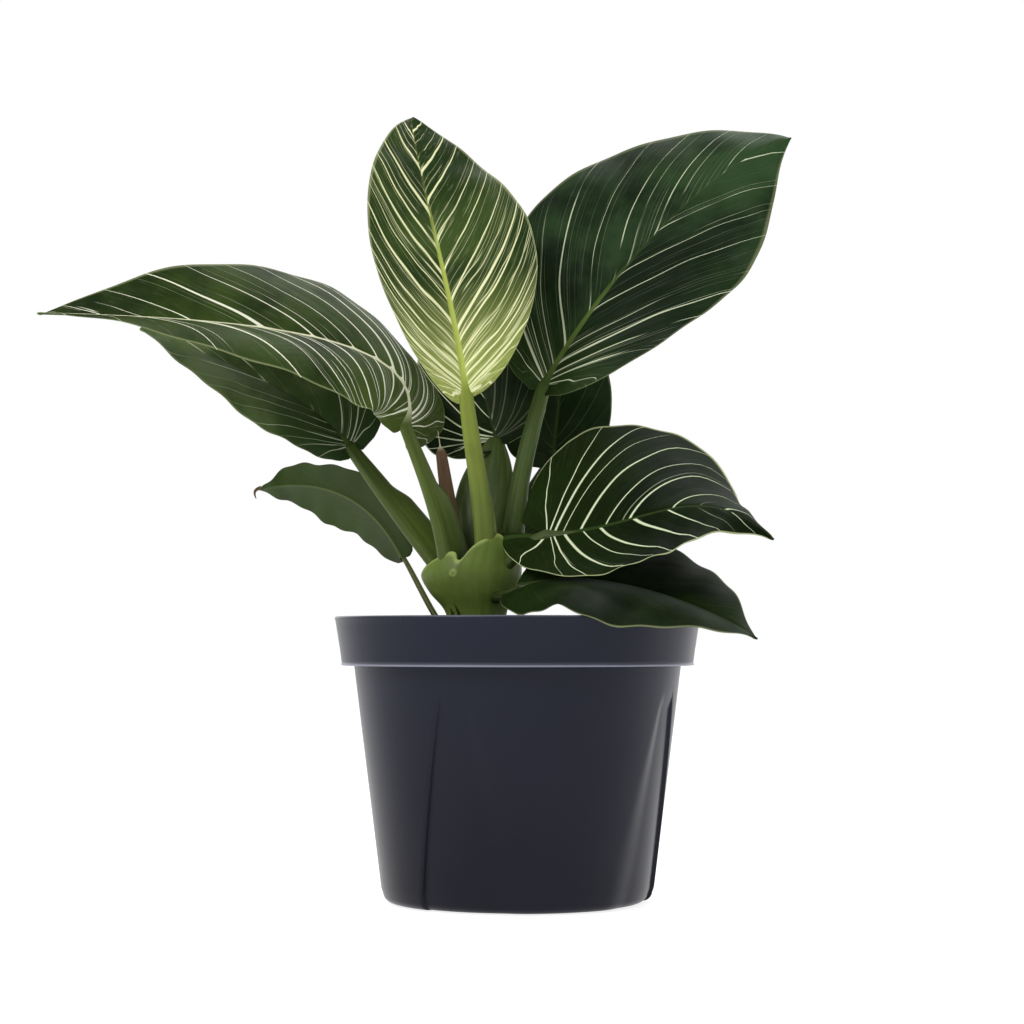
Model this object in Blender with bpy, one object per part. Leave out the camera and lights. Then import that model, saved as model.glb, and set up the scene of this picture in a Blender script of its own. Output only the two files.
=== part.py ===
"""Potted philodendron: a moulded nursery pot, potting soil, a clasping crown and nine leaves.

Metres, +Z up. The origin is the centre of the pot's flat base, which rests on z = 0.
-Y is the front. Heights in the plant's tables are measured from the plane of the pot's rim.
"""
import math

import bmesh
import bpy
from mathutils import Vector

GAP = 0.0003                      # clearance between pieces that touch

# Pot
POT_HEIGHT = 0.116
RIM_RADIUS = 0.075                # outside of the rim
COLLAR_HEIGHT = 0.020             # tall band below the rim
COLLAR_TAPER = 0.003              # the band is this much narrower at its lower edge
LEDGE = 0.005                     # step from the band in to the body
BODY_TAPER = 0.012                # the body is this much narrower at the base
WALL = 0.0018
FLOOR = 0.0022
CORNER = 0.004                    # rounding between body and base
RIM_ROUND = 0.0006
POT_SEGMENTS = 96

# Flutes: tapering hollows in the body, widest at the base
FLUTE_COUNT = 4
FLUTE_FIRST = math.radians(-22.5)   # from the front towards +X
FLUTE_HALF_ANGLE = math.radians(20.8)   # at the base
FLUTE_TOP_HALF_ANGLE = math.radians(4.5)
FLUTE_APEX_DROP = 0.010           # top of the flutes below the band
FLUTE_DEPTH = 0.0018              # at the base
FLUTE_DEPTH_TOP = 0.0010
FLUTE_EDGE = math.radians(4)

# Drain holes in the base
DRAIN_COUNT = 8
DRAIN_RADIUS = 0.0035
DRAIN_INSET = 0.014               # hole centres in from the body's outside
DRAIN_SEGMENTS = 16

# Soil and crown
SOIL_DROP = 0.002                 # soil surface below the ledge
CROWN_SET = 0.008                 # depth of the crown in the soil
CROWN_SEGMENTS = 20
# height over the rim plane, centre x and y, half width along x and y
CROWN_RINGS = (
    (-0.002, -0.016, 0.000, 0.0115, 0.011),
    (0.008, -0.0185, 0.000, 0.0165, 0.013),
    (0.018, -0.019, 0.000, 0.0200, 0.014),
    (0.026, -0.0175, 0.001, 0.0170, 0.014),
    (0.031, -0.0165, 0.001, 0.0120, 0.011),
)

# Leaves
BLADE_THICKNESS = 0.0010
BLADE_ROWS = 12
BLADE_COLUMNS = 4                 # on each side of the rib
VEIN_SWEEP = 1.5                  # how strongly the cross lines lean to the tip
NOTCH = 0.002                     # half width of the cleft between the basal lobes
STALK_SIDES = 10
STALK_RINGS = 9

# Each leaf: rib is the four control points of a cubic curve from base to tip. face is the way the
# upper side looks at base and tip. half, lobe, fold and curl hold the left and the right side, and
# fold and curl are degrees at base and tip. ends blunts or sharpens base and tip. stalk is foot,
# two control points and the three half widths at foot, middle and top; flat is its depth to width.
LEAVES = {
    "young": {
        "rib": ((-0.021, -0.014, 0.090), (-0.025, -0.022, 0.125),
                (-0.041, -0.008, 0.181), (-0.045, 0.016, 0.210)),
        "face": ((0.05, -1.0, 0.25), (0.30, -1.0, 0.18)),
        "half": (0.030, 0.041), "lobe": (0.003, 0.001), "widest": 0.50, "ends": (0.70, 0.87),
        "fold": ((19, 26), (20, 0)), "curl": ((-2, -16), (-12, -33)),
        "stalk": ((-0.013, -0.007, 0.026), (-0.014, -0.010, 0.050), (-0.019, -0.012, 0.070)),
        "radii": (0.0045, 0.0038, 0.0030), "flat": 0.80,
    },
    "right_upper": {
        "rib": ((0.011, 0.008, 0.096), (0.037, 0.014, 0.144),
                (0.082, 0.026, 0.193), (0.116, 0.022, 0.203)),
        "face": ((-0.20, -1.0, 0.23), (-0.05, -1.0, 0.57)),
        "half": (0.053, 0.047), "lobe": (0.004, 0.004), "widest": 0.46, "ends": (0.64, 1.0),
        "fold": ((20, -26), (29, 7)), "curl": ((-15, -20), (-14, -17)),
        "stalk": ((-0.003, 0.004, 0.026), (-0.001, 0.006, 0.052), (0.005, 0.006, 0.074)),
        "radii": (0.0042, 0.0038, 0.0030), "flat": 0.85,
    },
    "left_long": {
        "rib": ((-0.046, -0.006, 0.078), (-0.032, -0.016, 0.115),
                (-0.109, -0.024, 0.120), (-0.195, -0.020, 0.123)),
        "face": ((0.52, -0.75, 0.65), (0.05, -0.70, 0.69)),
        "half": (0.033, 0.052), "lobe": (0.004, 0.010), "widest": 0.42, "ends": (0.67, 1.13),
        "fold": ((15, 32), (-20, 34)), "curl": ((-38, -28), (-50, -36)),
        "stalk": ((-0.028, -0.006, 0.026), (-0.032, -0.009, 0.046), (-0.040, -0.007, 0.062)),
        "radii": (0.0060, 0.0042, 0.0029), "flat": 0.60,
    },
    "left_back": {
        "rib": ((-0.070, 0.014, 0.071), (-0.085, 0.012, 0.092),
                (-0.121, 0.010, 0.107), (-0.159, 0.018, 0.121)),
        "face": ((0.06, -0.85, 0.51), (0.04, -0.60, 0.68)),
        "half": (0.023, 0.038), "lobe": (0.004, 0.004), "widest": 0.41, "ends": (0.68, 1.04),
        "fold": ((18, 13), (16, 20)), "curl": ((-21, -28), (-20, -30)),
        "stalk": ((-0.030, 0.007, 0.020), (-0.043, 0.006, 0.036), (-0.060, 0.010, 0.058)),
        "radii": (0.0055, 0.0045, 0.0027), "flat": 0.60,
    },
    "left_low": {
        "rib": ((-0.048, 0.022, 0.025), (-0.066, 0.028, 0.061),
                (-0.096, 0.030, 0.058), (-0.110, 0.024, 0.054)),
        "face": ((0.19, 0.45, 0.81), (-0.14, 0.50, 0.83)),
        "half": (0.017, 0.029), "lobe": (0.001, 0.001), "widest": 0.42, "ends": (0.78, 1.16),
        "fold": ((16, 17), (12, 16)), "curl": ((-15, -30), (-20, -26)),
        "stalk": ((-0.020, 0.003, -0.016), (-0.032, 0.006, -0.008), (-0.040, 0.016, 0.012)),
        "radii": (0.0014, 0.0013, 0.0012), "flat": 1.0,
    },
    "right_curled": {
        "rib": ((0.012, -0.016, 0.033), (0.055, -0.034, 0.035),
                (0.070, -0.044, 0.057), (0.101, -0.046, 0.030)),
        "face": ((0.09, -0.80, 0.60), (0.17, -0.75, 1.02)),
        "half": (0.075, 0.037), "lobe": (0.013, 0.021), "widest": 0.40, "ends": (0.53, 1.11),
        "fold": ((12, -36), (-2, -3)), "curl": ((-21, -24), (33, 20)),
        "stalk": ((-0.008, -0.006, 0.018), (-0.001, -0.010, 0.025), (0.005, -0.013, 0.030)),
        "radii": (0.0032, 0.0028, 0.0025), "flat": 0.90,
    },
    "right_back": {
        "rib": ((0.016, 0.040, 0.069), (0.015, 0.048, 0.077),
                (0.022, 0.058, 0.116), (0.024, 0.056, 0.145)),
        "face": ((0.06, -1.0, 0.15), (0.06, -1.0, 0.20)),
        "half": (0.026, 0.023), "lobe": (0.008, 0.008), "widest": 0.40, "ends": (0.60, 1.10),
        "fold": ((10, 10), (9, 9)), "curl": ((-20, -20), (-20, -20)),
        "stalk": ((-0.005, 0.012, 0.022), (0.003, 0.021, 0.036), (0.013, 0.035, 0.050)),
        "radii": (0.0040, 0.0090, 0.0030), "flat": 0.25,
    },
    "centre_back": {
        "rib": ((-0.009, 0.026, 0.075), (-0.010, 0.030, 0.079),
                (-0.021, 0.040, 0.118), (-0.028, 0.044, 0.156)),
        "face": ((-0.14, -1.0, 0.19), (-0.11, -1.0, 0.20)),
        "half": (0.031, 0.025), "lobe": (0.009, 0.006), "widest": 0.35, "ends": (0.54, 1.10),
        "fold": ((11, 14), (14, 14)), "curl": ((-22, -20), (-20, -20)),
        "stalk": ((-0.017, 0.010, 0.028), (-0.015, 0.014, 0.045), (-0.012, 0.020, 0.060)),
        "radii": (0.0080, 0.0120, 0.0030), "flat": 0.22,
    },
}

# The leaf that hangs over the rim: its points are measured from the rim's outside at RIM_LEAF_TURN.
RIM_LEAF_TURN = math.radians(38)  # from the front towards +X
RIM_LEAF = {
    "rib": ((-0.044, 0.036, 0.012), (-0.022, 0.020, 0.021),
            (0.022, 0.001, 0.008), (0.047, 0.001, -0.009)),
    "face": ((0.09, -0.50, 0.86), (0.45, -0.50, 0.88)),
    "half": (0.039, 0.037), "lobe": (0.004, 0.010), "widest": 0.55, "ends": (0.45, 1.19),
    "fold": ((24, 3), (8, 20)), "curl": ((-16, -23), (-24, -36)),
    "stalk": ((-0.010, -0.008, 0.008), (-0.006, -0.013, 0.007), (-0.002, -0.019, 0.009)),
    "radii": (0.0030, 0.0026, 0.0024), "flat": 0.90,
}

# Dried sheath of an old leaf: a thin blade that stands on the crown
HUSK_FOOT = (-0.026, 0.003, 0.030)
HUSK_BEND = (-0.029, 0.004, 0.050)
HUSK_TIP = (-0.033, 0.004, 0.077)
HUSK_RADII = (0.0030, 0.0022, 0.0005)
HUSK_FLAT = 0.40

# Colours are linear red, green and blue
POT_COLOUR = (0.026, 0.029, 0.043)
SOIL_COLOUR = (0.030, 0.019, 0.012)
CROWN_COLOUR = (0.105, 0.165, 0.035)
STALK_COLOUR = (0.120, 0.200, 0.045)
HUSK_COLOUR = (0.100, 0.055, 0.028)
BLADE_COLOURS = {
    "young": (0.210, 0.290, 0.110),
    "right_upper": (0.030, 0.060, 0.030),
    "left_long": (0.070, 0.110, 0.045),
    "left_back": (0.030, 0.065, 0.025),
    "left_low": (0.035, 0.075, 0.020),
    "right_curled": (0.040, 0.080, 0.025),
    "right_back": (0.015, 0.035, 0.015),
    "centre_back": (0.025, 0.045, 0.020),
    "over_rim": (0.025, 0.060, 0.015),
}

LEDGE_Z = POT_HEIGHT - COLLAR_HEIGHT
COLLAR_FOOT_RADIUS = RIM_RADIUS - COLLAR_TAPER
BODY_TOP_RADIUS = COLLAR_FOOT_RADIUS - LEDGE
BASE_RADIUS = BODY_TOP_RADIUS - BODY_TAPER
FLUTE_APEX_Z = LEDGE_Z - FLUTE_APEX_DROP
SOIL_TOP = LEDGE_Z - SOIL_DROP


def clear_scene():
    for obj in list(bpy.data.objects):
        bpy.data.objects.remove(obj, do_unlink=True)


def material(name, colour, roughness):
    made = bpy.data.materials.new(name)
    made.use_nodes = True
    shader = made.node_tree.nodes["Principled BSDF"]
    shader.inputs["Base Color"].default_value = (*colour, 1.0)
    shader.inputs["Roughness"].default_value = roughness
    shader.inputs["Metallic"].default_value = 0.0
    return made


def add_object(name, shape, surface):
    """Link a bmesh as an object and free the bmesh."""
    bmesh.ops.recalc_face_normals(shape, faces=shape.faces)
    mesh = bpy.data.meshes.new(name)
    shape.to_mesh(mesh)
    shape.free()
    mesh.shade_smooth()
    mesh.set_sharp_from_angle(angle=math.radians(40))
    obj = bpy.data.objects.new(name, mesh)
    bpy.context.scene.collection.objects.link(obj)
    if surface:
        mesh.materials.append(surface)
    return obj


def as_cutter(obj):
    obj.hide_render = True
    obj.display_type = "WIRE"
    return obj


def subtract(obj, cutter):
    cut = obj.modifiers.new("cut_" + cutter.name, "BOOLEAN")
    cut.operation = "DIFFERENCE"
    cut.object = cutter


def lofted(rings):
    """A closed solid through rings of equally many points, capped flat at both ends.

    Each wall patch is split from its lower ring to its upper one, so two walls that follow the
    same heights bend alike.
    """
    shape = bmesh.new()
    rows = [[shape.verts.new(point) for point in ring] for ring in rings]
    count = len(rows[0])
    for first, second in zip(rows, rows[1:]):
        rising = first[0].co.z <= second[0].co.z
        for i in range(count):
            j = (i + 1) % count
            if rising:
                shape.faces.new((first[i], first[j], second[j]))
                shape.faces.new((first[i], second[j], second[i]))
            else:
                shape.faces.new((first[i], first[j], second[i]))
                shape.faces.new((first[j], second[j], second[i]))
    shape.faces.new(reversed(rows[0]))
    shape.faces.new(rows[-1])
    return shape


def body_radius(z):
    """Outside of the pot's body at a height, away from the flutes."""
    return BASE_RADIUS + BODY_TAPER * z / LEDGE_Z


def flute_depth(turn, z):
    """How far the wall steps in at an angle from the front and a height."""
    if z >= FLUTE_APEX_Z:
        return 0.0
    rise = z / FLUTE_APEX_Z
    pitch = 2 * math.pi / FLUTE_COUNT
    off = abs((turn - FLUTE_FIRST + pitch / 2) % pitch - pitch / 2)
    half_angle = FLUTE_HALF_ANGLE + (FLUTE_TOP_HALF_ANGLE - FLUTE_HALF_ANGLE) * rise
    inside = (half_angle - off) / FLUTE_EDGE + 0.5
    inside = min(max(inside, 0.0), 1.0)
    return inside * (FLUTE_DEPTH + (FLUTE_DEPTH_TOP - FLUTE_DEPTH) * rise)


def pot_ring(radius, z, inset=0.0, fluted=False):
    """One turn of the pot's wall: radius, height, and how far inside the outer face it lies."""
    ring = []
    for i in range(POT_SEGMENTS):
        turn = 2 * math.pi * i / POT_SEGMENTS
        reach = radius - inset - (flute_depth(turn, z) if fluted else 0.0)
        ring.append((reach * math.sin(turn), -reach * math.cos(turn), z))
    return ring


def body_heights(low, high):
    """Heights at which the body's wall has points: more of them where the flutes are."""
    inner = [FLUTE_APEX_Z * share for share in (0.25, 0.5, 0.75, 0.94, 1.0)]
    return [low] + [z for z in inner if low < z < high] + [high]


def pot_shape():
    corner = [
        pot_ring(body_radius(0) - CORNER, 0.0, fluted=True),
        pot_ring(body_radius(0) - CORNER * 0.3, CORNER * 0.3, fluted=True),
    ]
    outer = [pot_ring(body_radius(z), z, fluted=True) for z in body_heights(CORNER, LEDGE_Z)]
    collar = [
        pot_ring(COLLAR_FOOT_RADIUS, LEDGE_Z),
        pot_ring(RIM_RADIUS, POT_HEIGHT - RIM_ROUND),
        pot_ring(RIM_RADIUS - RIM_ROUND, POT_HEIGHT),
        pot_ring(RIM_RADIUS - WALL, POT_HEIGHT),
        pot_ring(COLLAR_FOOT_RADIUS - WALL, LEDGE_Z + WALL),
        pot_ring(BODY_TOP_RADIUS - WALL, LEDGE_Z + WALL),
    ]
    heights = body_heights(FLOOR, LEDGE_Z)
    inner = [pot_ring(body_radius(z), z, WALL, fluted=True) for z in reversed(heights)]
    return lofted(corner + outer + collar + inner)


def drain_cutter():
    shape = bmesh.new()
    for i in range(DRAIN_COUNT):
        turn = 2 * math.pi * (i + 0.5) / DRAIN_COUNT
        reach = BASE_RADIUS - DRAIN_INSET
        made = bmesh.ops.create_cone(
            shape, cap_ends=True, segments=DRAIN_SEGMENTS, radius1=DRAIN_RADIUS,
            radius2=DRAIN_RADIUS, depth=4 * FLOOR)
        place = Vector((reach * math.sin(turn), -reach * math.cos(turn), FLOOR / 2))
        bmesh.ops.translate(shape, vec=place, verts=made["verts"])
    return as_cutter(add_object("drain_cutter", shape, None))


def make_pot():
    pot = add_object("pot", pot_shape(), material("pot_plastic", POT_COLOUR, 0.42))
    subtract(pot, drain_cutter())
    return pot


def crown_shape(grow):
    """The clasping crown, or with grow a cutter that leaves that much room around it."""
    foot = SOIL_TOP - CROWN_SET - grow
    rings = [(foot, *CROWN_RINGS[0][1:])]
    rings += [(POT_HEIGHT + height, *rest) for height, *rest in CROWN_RINGS]
    top = POT_HEIGHT + CROWN_RINGS[-1][0] + grow
    rings[-1] = (top, *rings[-1][1:])
    points = []
    for z, x, y, half_x, half_y in rings:
        ring = []
        for i in range(CROWN_SEGMENTS):
            turn = 2 * math.pi * i / CROWN_SEGMENTS
            reach_x = (half_x + grow) * math.cos(turn)
            reach_y = (half_y + grow) * math.sin(turn)
            ring.append((x + reach_x, y + reach_y, z))
        points.append(ring)
    return lofted(points)


def make_soil():
    """Fills the pot's body up to its surface, with a socket for the crown."""
    heights = body_heights(FLOOR + GAP, SOIL_TOP)
    rings = [pot_ring(body_radius(z), z, WALL + GAP, fluted=True) for z in heights]
    soil = add_object("potting_soil", lofted(rings), material("soil_peat", SOIL_COLOUR, 0.95))
    subtract(soil, as_cutter(add_object("crown_socket", crown_shape(GAP), None)))
    return soil


def along(points, share):
    """A point of a cubic curve."""
    a, b, c, d = points
    rest = 1 - share
    near = a * rest ** 3 + b * (3 * rest * rest * share)
    return near + c * (3 * rest * share * share) + d * share ** 3


def heading(points, share):
    """The unit direction of a cubic curve."""
    a, b, c, d = points
    rest = 1 - share
    way = (b - a) * (rest * rest) + (c - b) * (2 * rest * share) + (d - c) * (share * share)
    return way.normalized()


def curve_length(points):
    steps = [along(points, i / 40) for i in range(41)]
    return sum((after - before).length for before, after in zip(steps, steps[1:]))


def at_rim(point):
    """A point of the plant's tables in the object's frame."""
    x, y, height = point
    return Vector((x, y, POT_HEIGHT + height))


def over_rim(point):
    """A point measured from the rim's outside, in the object's frame."""
    out = Vector((math.sin(RIM_LEAF_TURN), -math.cos(RIM_LEAF_TURN), 0.0))
    return out * RIM_RADIUS + Vector((0.0, 0.0, POT_HEIGHT)) + Vector(point)


def mix(pair, share):
    return pair[0] + (pair[1] - pair[0]) * share


def blade_point(leaf, rib, side, share, reach):
    """A point of the blade: share along the rib, below 0 behind its base, and reach across it."""
    on_rib = max(share, 0.0)
    way = heading(rib, on_rib)
    place = along(rib, on_rib) + way * (min(share, 0.0) * curve_length(rib))
    face = Vector(leaf["face"][0]).normalized().lerp(Vector(leaf["face"][1]).normalized(), on_rib)
    up = (face - way * face.dot(way)).normalized()
    across = way.cross(up)
    fold = math.radians(mix(leaf["fold"][side], on_rib))
    curl = math.radians(mix(leaf["curl"][side], on_rib))
    if abs(curl) < 0.001:
        curl = 0.001
    half = leaf["half"][side]
    turned = fold + curl * reach / half
    out = half / curl * (math.sin(turned) - math.sin(fold))
    rise = half / curl * (math.cos(fold) - math.cos(turned))
    return place + across * (out if side else -out) + up * rise


def margin(leaf, rib, side, row):
    """Where the blade's edge is for a row from 0, behind the base, to 1, the tip."""
    lobe = leaf["lobe"][side] / curve_length(rib)
    widest = (leaf["widest"] + lobe) / (1 + lobe)
    share = row ** 0.8
    swell = math.sin(math.pi * min(share, 1.0) ** (math.log(0.5) / math.log(widest)))
    reach = leaf["half"][side] * max(swell, 0.0) ** mix(leaf["ends"], share)
    return -lobe + (1 + lobe) * share, reach + NOTCH * (1 - share) ** 6


def blade_shape(leaf, rib):
    """The blade's middle surface: rows follow the side veins, from the rib to the margin."""
    shape = bmesh.new()
    for side in (0, 1):
        grid = []
        for i in range(BLADE_ROWS + 1):
            row = i / BLADE_ROWS
            edge_share, edge_reach = margin(leaf, rib, side, row)
            start = row ** VEIN_SWEEP
            line = []
            for j in range(BLADE_COLUMNS + 1):
                part = j / BLADE_COLUMNS
                share = start + (edge_share - start) * part ** 1.6
                line.append(shape.verts.new(blade_point(leaf, rib, side, share, part * edge_reach)))
            grid.append(line)
        for low, high in zip(grid, grid[1:]):
            for j in range(BLADE_COLUMNS):
                corners = (low[j], low[j + 1], high[j + 1], high[j])
                shape.faces.new(corners if side else tuple(reversed(corners)))
    bmesh.ops.remove_doubles(shape, verts=shape.verts, dist=0.00002)
    return shape


def tube(points, radii, flat, face, grow):
    """A round or oval stalk along a cubic curve, grown all round and at its far end."""
    face = Vector(face).normalized()
    rings = []
    for i in range(STALK_RINGS + 1):
        share = i / STALK_RINGS
        place = along(points, share)
        way = heading(points, share)
        if i == STALK_RINGS:
            place = place + way * grow
        foot, middle, top = radii
        rest = 1 - share
        half = foot * rest * rest + (4 * middle - foot - top) * rest * share + top * share * share
        across = way.cross(face).normalized()
        up = across.cross(way)
        ring = []
        for j in range(STALK_SIDES):
            turn = 2 * math.pi * j / STALK_SIDES
            side = across * ((half + grow) * math.cos(turn))
            ring.append(place + side + up * ((half * flat + grow) * math.sin(turn)))
        rings.append(ring)
    return lofted(rings)


def make_leaf(name, leaf, place, crown_cutter, stalk_surface):
    """A leaf's stalk, which ends at the crown, and its blade, which is cleft around the stalk."""
    rib = [place(point) for point in leaf["rib"]]
    stalk_line = [at_rim(point) for point in leaf["stalk"]] + [rib[0]]
    face = leaf["face"][0]
    stalk_mesh = tube(stalk_line, leaf["radii"], leaf["flat"], face, 0.0)
    stalk = add_object("stalk_" + name, stalk_mesh, stalk_surface)
    subtract(stalk, crown_cutter)
    room = add_object("room_" + name, tube(stalk_line, leaf["radii"], leaf["flat"], face, GAP), None)
    surface = material("blade_" + name, BLADE_COLOURS[name], 0.38)
    blade = add_object("leaf_" + name, blade_shape(leaf, rib), surface)
    skin = blade.modifiers.new("thickness", "SOLIDIFY")
    skin.thickness = BLADE_THICKNESS
    skin.offset = 0.0
    subtract(blade, as_cutter(room))
    return stalk, blade


def make_husk(crown_cutter):
    bend_high = (at_rim(HUSK_BEND) + at_rim(HUSK_TIP)) / 2
    line = [at_rim(HUSK_FOOT), at_rim(HUSK_BEND), bend_high, at_rim(HUSK_TIP)]
    shape = tube(line, HUSK_RADII, HUSK_FLAT, (0.2, -1.0, 0.1), 0.0)
    husk = add_object("dried_sheath", shape, material("husk_brown", HUSK_COLOUR, 0.80))
    subtract(husk, crown_cutter)
    return husk


def main():
    clear_scene()
    make_pot()
    make_soil()
    add_object("crown", crown_shape(0.0), material("crown_green", CROWN_COLOUR, 0.45))
    crown_cutter = as_cutter(add_object("crown_cutter", crown_shape(GAP), None))
    stalk_surface = material("stalk_green", STALK_COLOUR, 0.45)
    for name, leaf in LEAVES.items():
        make_leaf(name, leaf, at_rim, crown_cutter, stalk_surface)
    make_leaf("over_rim", RIM_LEAF, over_rim, crown_cutter, stalk_surface)
    make_husk(crown_cutter)


main()
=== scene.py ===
"""The looks of the potted philodendron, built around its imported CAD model.

Metres, +Z up, the same frame as the CAD. Leaves, stalks and crown repeat the design's own curves
and replace their plain CAD solids with fine surfaces; the pot and the soil do the same.
"""
import math

import bmesh
import bpy
import numpy as np
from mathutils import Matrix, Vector, noise


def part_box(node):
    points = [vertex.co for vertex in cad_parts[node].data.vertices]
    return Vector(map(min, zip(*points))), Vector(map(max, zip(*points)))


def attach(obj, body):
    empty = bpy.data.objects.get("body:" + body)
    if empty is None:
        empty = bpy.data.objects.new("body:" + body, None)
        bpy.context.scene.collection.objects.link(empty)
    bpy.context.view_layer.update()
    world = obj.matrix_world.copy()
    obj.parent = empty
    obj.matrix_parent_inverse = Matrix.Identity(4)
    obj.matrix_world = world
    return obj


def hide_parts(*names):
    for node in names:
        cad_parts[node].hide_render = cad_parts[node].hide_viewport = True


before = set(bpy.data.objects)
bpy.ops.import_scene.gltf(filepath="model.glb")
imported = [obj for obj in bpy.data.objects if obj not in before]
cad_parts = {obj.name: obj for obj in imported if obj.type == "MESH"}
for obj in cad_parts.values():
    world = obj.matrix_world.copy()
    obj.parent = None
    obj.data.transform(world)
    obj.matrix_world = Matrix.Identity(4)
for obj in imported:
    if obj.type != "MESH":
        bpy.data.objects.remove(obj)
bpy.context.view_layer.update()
BODY = "root"

# ---------------------------------------------------------------- sizes from the frame

POT_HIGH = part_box("pot")[1]
RIM_Z = POT_HIGH.z
RIM_RADIUS = POT_HIGH.x
SOIL_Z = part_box("potting_soil")[1].z

# ---------------------------------------------------------------- the pot's design values

COLLAR_HEIGHT = 0.020
COLLAR_TAPER = 0.003
LEDGE = 0.005
BODY_TAPER = 0.012
WALL = 0.0018
FLOOR = 0.0022
CORNER = 0.004
FLUTE_COUNT = 4
FLUTE_FIRST = math.radians(-22.5)
FLUTE_HALF_ANGLE = math.radians(20.8)
FLUTE_TOP_HALF_ANGLE = math.radians(4.5)
FLUTE_APEX_DROP = 0.010
FLUTE_DEPTH = 0.0018
FLUTE_DEPTH_TOP = 0.0010
DRAIN_COUNT = 8
DRAIN_RADIUS = 0.0035
DRAIN_INSET = 0.014
LEDGE_Z = RIM_Z - COLLAR_HEIGHT
COLLAR_FOOT_RADIUS = RIM_RADIUS - COLLAR_TAPER
BODY_TOP_RADIUS = COLLAR_FOOT_RADIUS - LEDGE
BASE_RADIUS = BODY_TOP_RADIUS - BODY_TAPER
FLUTE_APEX_Z = LEDGE_Z - FLUTE_APEX_DROP

# ---------------------------------------------------------------- the leaves' design values
# The same recipe as the CAD: rib is four control points from base to tip, measured from the rim
# plane; face is where the upper side looks at base and tip; half, lobe, fold and curl hold left
# and right. look names the blade's pattern below.

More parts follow.
